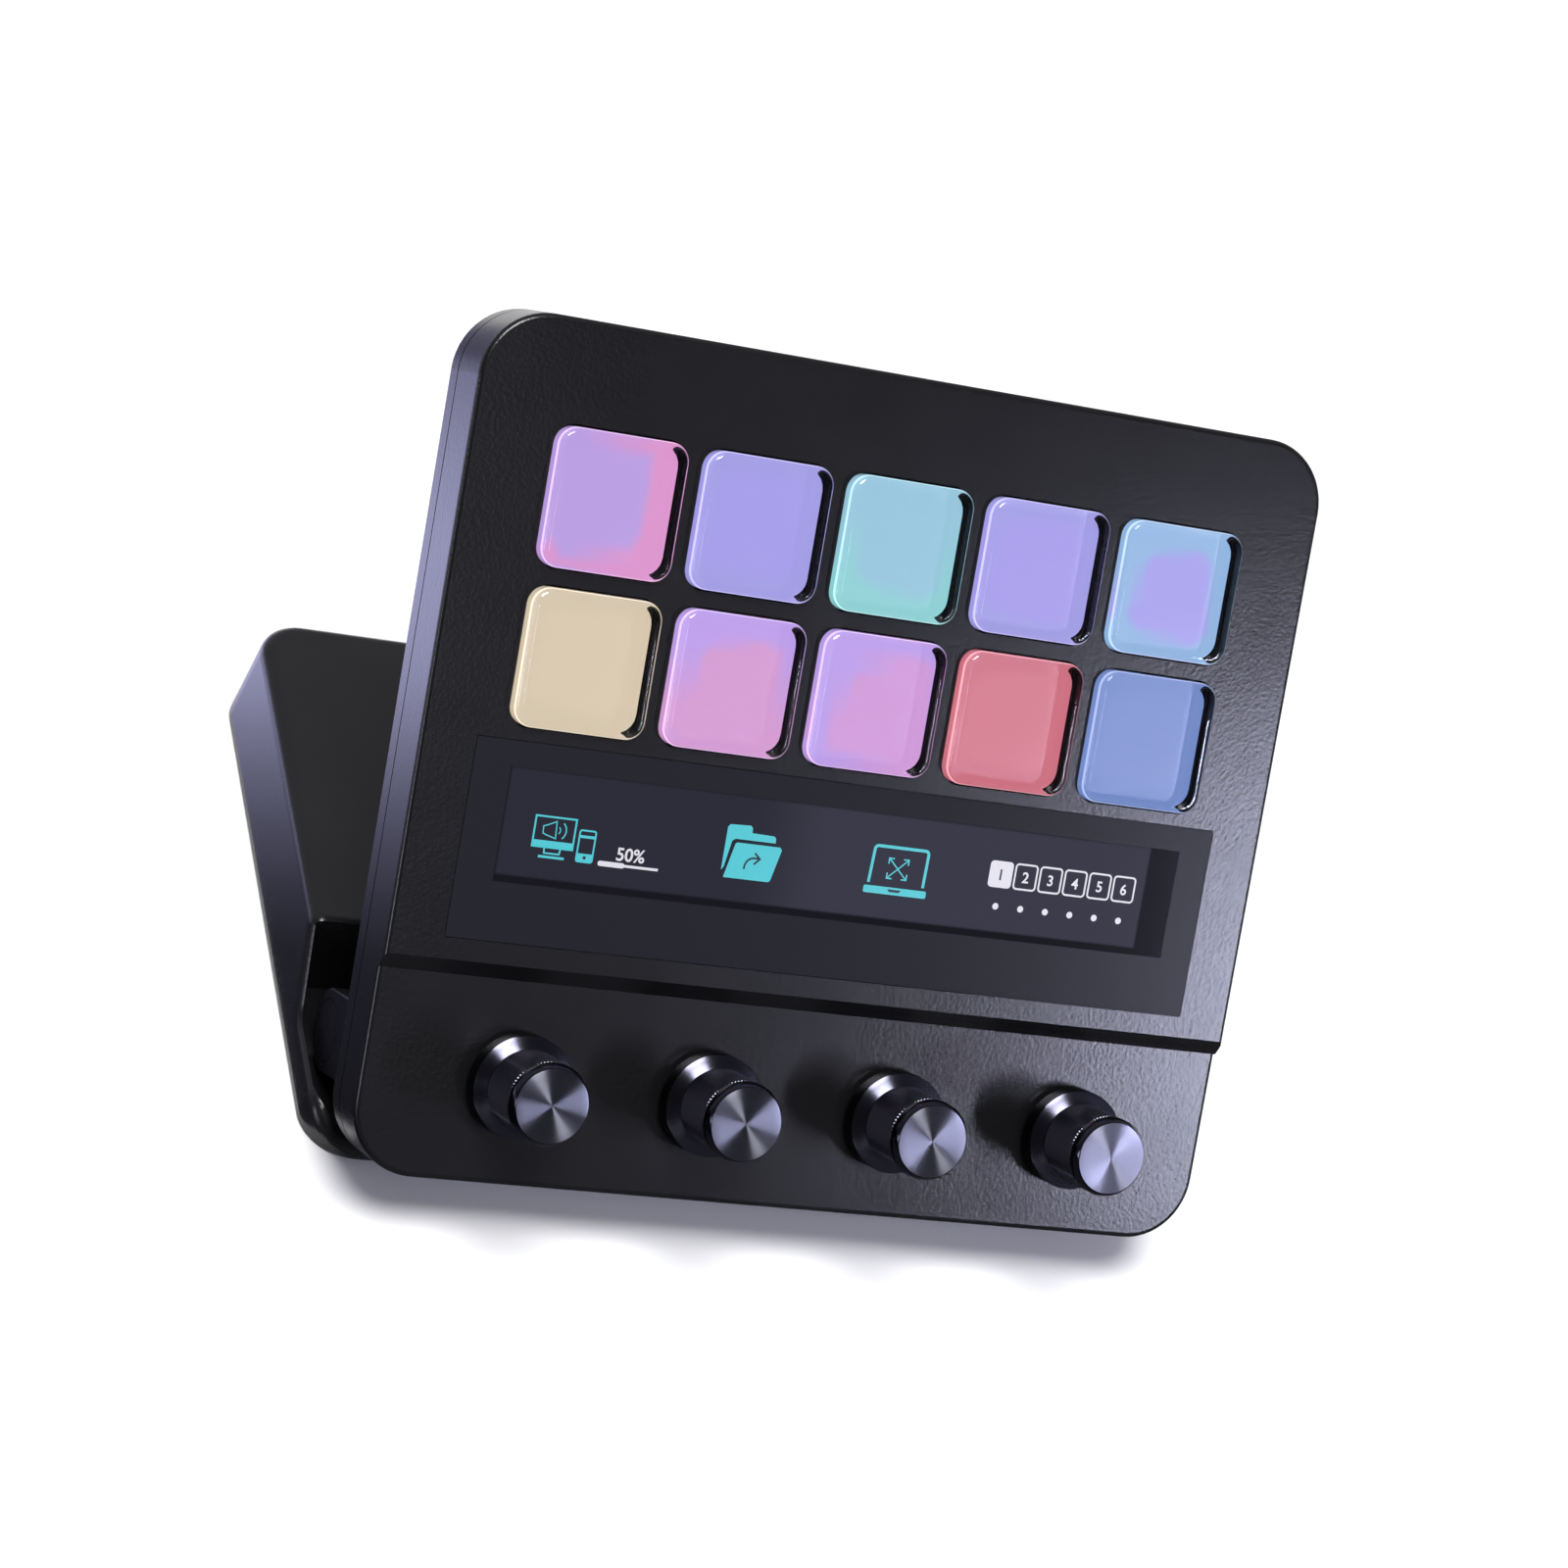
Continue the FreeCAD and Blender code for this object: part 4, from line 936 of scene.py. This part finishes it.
tile_shapes, tile_figures = tiles()
arrow = ribbon(np.vstack([[(37.9, 9.85)], arc(39.35, 9.5, 1.4, 190, 262, 7), [(40.0, 8.1)]]), 0.3)
arrow_head = ribbon([(39.3, 7.35), (40.2, 8.15), (39.35, 9.0)], 0.3)
telephone_key = filled(arc(13.2, 10.98, 0.26, 0, 340, 12))
laptop_notch = filled([(61.2, 10.25), (63.4, 10.25), (63.1, 10.65), (61.5, 10.65)])
coloured = screen_and_telephone() + folder() + laptop()
marks = [arrow, arrow_head, telephone_key, laptop_notch] + tile_figures
signs = [
    sign("strip_signs", coloured, cyan_light, SIGN_HEIGHT),
    sign("strip_tiles", tile_shapes + level(), white_light, SIGN_HEIGHT),
    sign("strip_dark_marks", marks, dark_sign, MARK_HEIGHT),
]
print("signs:", ", ".join(f"{s.name} {len(s.data.polygons)} faces" for s in signs))

# %% [markdown]
# The keypad stands on a wide matt floor. To the eye, and in glass and metal, it is pure
# white; to the light that bounces off it on to the keypad it is a light grey, so that the
# black plastic isn't lifted too much from below. It has no light of its own, so the soft
# shadow is what the lamps make of it. A curved sweep would hide the horizon too, but the
# room behind is as white as the floor, so a flat sheet is enough.

# %% Floor
FLOOR = 3.0
FLOOR_SEEN, FLOOR_BOUNCING = 1.0, 0.8


def sheet(name, left, right, front, back, height):
    """Flat stage piece on four corners, its material, and the socket that is still open."""
    corners = [(left, front, height), (right, front, height),
               (right, back, height), (left, back, height)]
    mesh = bpy.data.meshes.new(name)
    mesh.from_pydata(corners, [], [[0, 1, 2, 3]])
    piece = bpy.data.objects.new(name, mesh)
    bpy.context.scene.collection.objects.link(piece)
    material = bpy.data.materials.new(f"{name}_finish")
    material.use_nodes = True
    material.node_tree.nodes.remove(principled(material))
    mesh.materials.append(material)
    return piece, material, material.node_tree.nodes["Material Output"].inputs["Surface"]


_, floor_finish, floor_surface = sheet("floor", -FLOOR, FLOOR, -FLOOR, FLOOR, 0)
rays = node(floor_finish, "ShaderNodeLightPath")
seen = rays.outputs["Is Camera Ray"]
for kind in ("Is Transmission Ray", "Is Glossy Ray"):
    either = node(floor_finish, "ShaderNodeMath", operation="MAXIMUM")
    link(floor_finish, seen, either.inputs[0])
    link(floor_finish, rays.outputs[kind], either.inputs[1])
    seen = either.outputs["Value"]
whites = node(floor_finish, "ShaderNodeMixShader")
link(floor_finish, seen, whites.inputs["Fac"])
for place, value in ((1, FLOOR_BOUNCING), (2, FLOOR_SEEN)):
    matt = node(floor_finish, "ShaderNodeBsdfDiffuse")
    matt.inputs["Color"].default_value = (value, value, value, 1)
    link(floor_finish, matt.outputs["BSDF"], whites.inputs[place])
link(floor_finish, whites.outputs["Shader"], floor_surface)
print("floor", 2 * FLOOR, "m wide")

# %% [markdown]
# The room is white to the eye and gives the keypad a soft light, much weaker in front than
# behind, as a studio is with its bright sweep behind the object. One wide soft light
# overhead makes the shadow. Three lamps do the rest: an upright one at the right, turned
# to the case's lower right, draws the sectors on the knobs and brightens the face there; a
# low one at the left lights the left sides; a far one in front fills the stand's front.
# Each is an area lamp, because a small bright point would leave hard spots in the gloss.

# %% Room and lamps
ROOM_COLOUR = (0.92, 0.90, 1.0)
ROOM_TURNOVER = (-0.2, 0.6)
ROOM_STRENGTH = (0.05, 0.40)
world = bpy.data.worlds.new("room")
world.use_nodes = True
bpy.context.scene.world = world
soft = world.node_tree.nodes["Background"]
soft.inputs["Color"].default_value = (*ROOM_COLOUR, 1)
direction = node(world, "ShaderNodeTexCoord")
sides = node(world, "ShaderNodeSeparateXYZ")
link(world, direction.outputs["Generated"], sides.inputs["Vector"])
strength = spread(world, sides.outputs["Y"], ROOM_TURNOVER, ROOM_STRENGTH, soft=True)
link(world, strength, soft.inputs["Strength"])
white = node(world, "ShaderNodeBackground")
white.inputs["Color"].default_value = (1, 1, 1, 1)
white.inputs["Strength"].default_value = 1.0
ray = node(world, "ShaderNodeLightPath")
choice = node(world, "ShaderNodeMixShader")
link(world, ray.outputs["Is Camera Ray"], choice.inputs["Fac"])
link(world, soft.outputs["Background"], choice.inputs[1])
link(world, white.outputs["Background"], choice.inputs[2])
link(world, choice.outputs["Shader"], world.node_tree.nodes["World Output"].inputs["Surface"])

SUN_FROM = (-0.16, -0.24, 1.0)
SUN_STRENGTH, SUN_ANGLE = 3.2, 26
MIDDLE = (0.0, -0.01, 0.05)
RIGHT_PLACE = (0.291, -0.347, 0.216)
RIGHT_AIM = (0.291, -0.070, 0.002)
LEFT_PLACE = (-1.10, -0.47, 0.14)
FRONT_PLACE = (0.75, -3.0, 2.12)
COOL, COOLER = (0.85, 0.83, 1.0), (0.76, 0.77, 1.0)


def hang(name, light, place, source):
    """A light at a place; source is the direction that it shines from."""
    holder = bpy.data.objects.new(name, light)
    holder.location = place
    holder.rotation_euler = Vector(source).to_track_quat("Z", "Y").to_euler()
    bpy.context.scene.collection.objects.link(holder)
    return holder


def lamp(name, place, aim, width, height, power, colour):
    """Area lamp at a place, facing its aim; sizes in metres, power in watts."""
    light = bpy.data.lights.new(name, "AREA")
    light.shape = "RECTANGLE"
    light.size = width
    light.size_y = height
    light.energy = power
    light.color = colour
    holder = hang(name, light, place, Vector(place) - Vector(aim))
    holder.visible_camera = False
    return holder


overhead = bpy.data.lights.new("overhead", "SUN")
overhead.energy = SUN_STRENGTH
overhead.angle = math.radians(SUN_ANGLE)
lamps = [
    hang("overhead", overhead, (0, 0, 0), SUN_FROM),
    lamp("right", RIGHT_PLACE, RIGHT_AIM, 0.041, 0.144, 0.92, COOLER),
    lamp("left", LEFT_PLACE, MIDDLE, 0.25, 0.35, 1.7, COOL),
    lamp("front", FRONT_PLACE, MIDDLE, 0.3, 0.3, 2.2, COOL),
]
print("lamps:", ", ".join(l.name for l in lamps))

# %% [markdown]
# Black plastic shows mostly what it mirrors. Seen from the camera, the case and the stand
# mirror the floor at the left and in front, and a white floor there would turn them grey.
# A photographer lays cards round the object for that, and two such sheets lie here. They
# show in mirror images and nowhere else: the one at the left is dark in front and grows
# bright towards the back, for a slow change from dark to pale, and the one in front is dark
# all over. Lamps alone would give spots with edges instead of that change.

# %% Graded card and dark flag
SHEET_HEIGHT = 0.0008
SHEETS_MEET = -0.0684
CARD_FRONT, CARD_BACK = -0.4, 0.5
CARD_SPAN = (-0.05, 0.20)
CARD_STRENGTH = 3.1
CARD_COLOUR = (0.633, 0.627, 1.0)
CARD_STEPS = [
    (-0.05, 0.01), (-0.006, 0.03), (0.006, 0.08), (0.018, 0.165), (0.030, 0.30), (0.042, 0.49),
    (0.054, 0.73), (0.066, 0.87), (0.09, 0.95), (0.115, 0.78), (0.15, 0.4), (0.2, 0.15),
]
FLAG_BACK = -0.0467
FLAG_COLOUR = (0.10, 0.10, 0.12)


def reflector(name, left, right, front, back):
    """Glowing sheet just over the floor that only mirror images show."""
    piece, material, surface = sheet(name, left, right, front, back, SHEET_HEIGHT)
    piece.visible_camera = False
    piece.visible_diffuse = False
    piece.visible_transmission = False
    piece.visible_shadow = False
    glow = node(material, "ShaderNodeEmission")
    link(material, glow.outputs["Emission"], surface)
    return material, glow.inputs


card, card_glow = reflector("left_card", -0.6, SHEETS_MEET, CARD_FRONT, CARD_BACK)
place = node(card, "ShaderNodeTexCoord")
parts = node(card, "ShaderNodeSeparateXYZ")
link(card, place.outputs["Object"], parts.inputs["Vector"])
ramp = node(card, "ShaderNodeValToRGB")
link(card, spread(card, parts.outputs["Y"], CARD_SPAN, (0, 1)), ramp.inputs["Fac"])
steps = ramp.color_ramp.elements
steps.remove(steps[1])
for index, (y, brightness) in enumerate(CARD_STEPS):
    position = (y - CARD_SPAN[0]) / (CARD_SPAN[1] - CARD_SPAN[0])
    step = steps[0] if index == 0 else steps.new(position)
    step.position = position
    step.color = (*[channel * brightness for channel in CARD_COLOUR], 1)
card_glow["Strength"].default_value = CARD_STRENGTH
link(card, ramp.outputs["Color"], card_glow["Color"])

_, flag_glow = reflector("front_flag", SHEETS_MEET, 0.5, -0.6, FLAG_BACK)
flag_glow["Color"].default_value = (*FLAG_COLOUR, 1)
print("the card is brightest", max(CARD_STEPS, key=lambda step: step[1])[0], "m back")
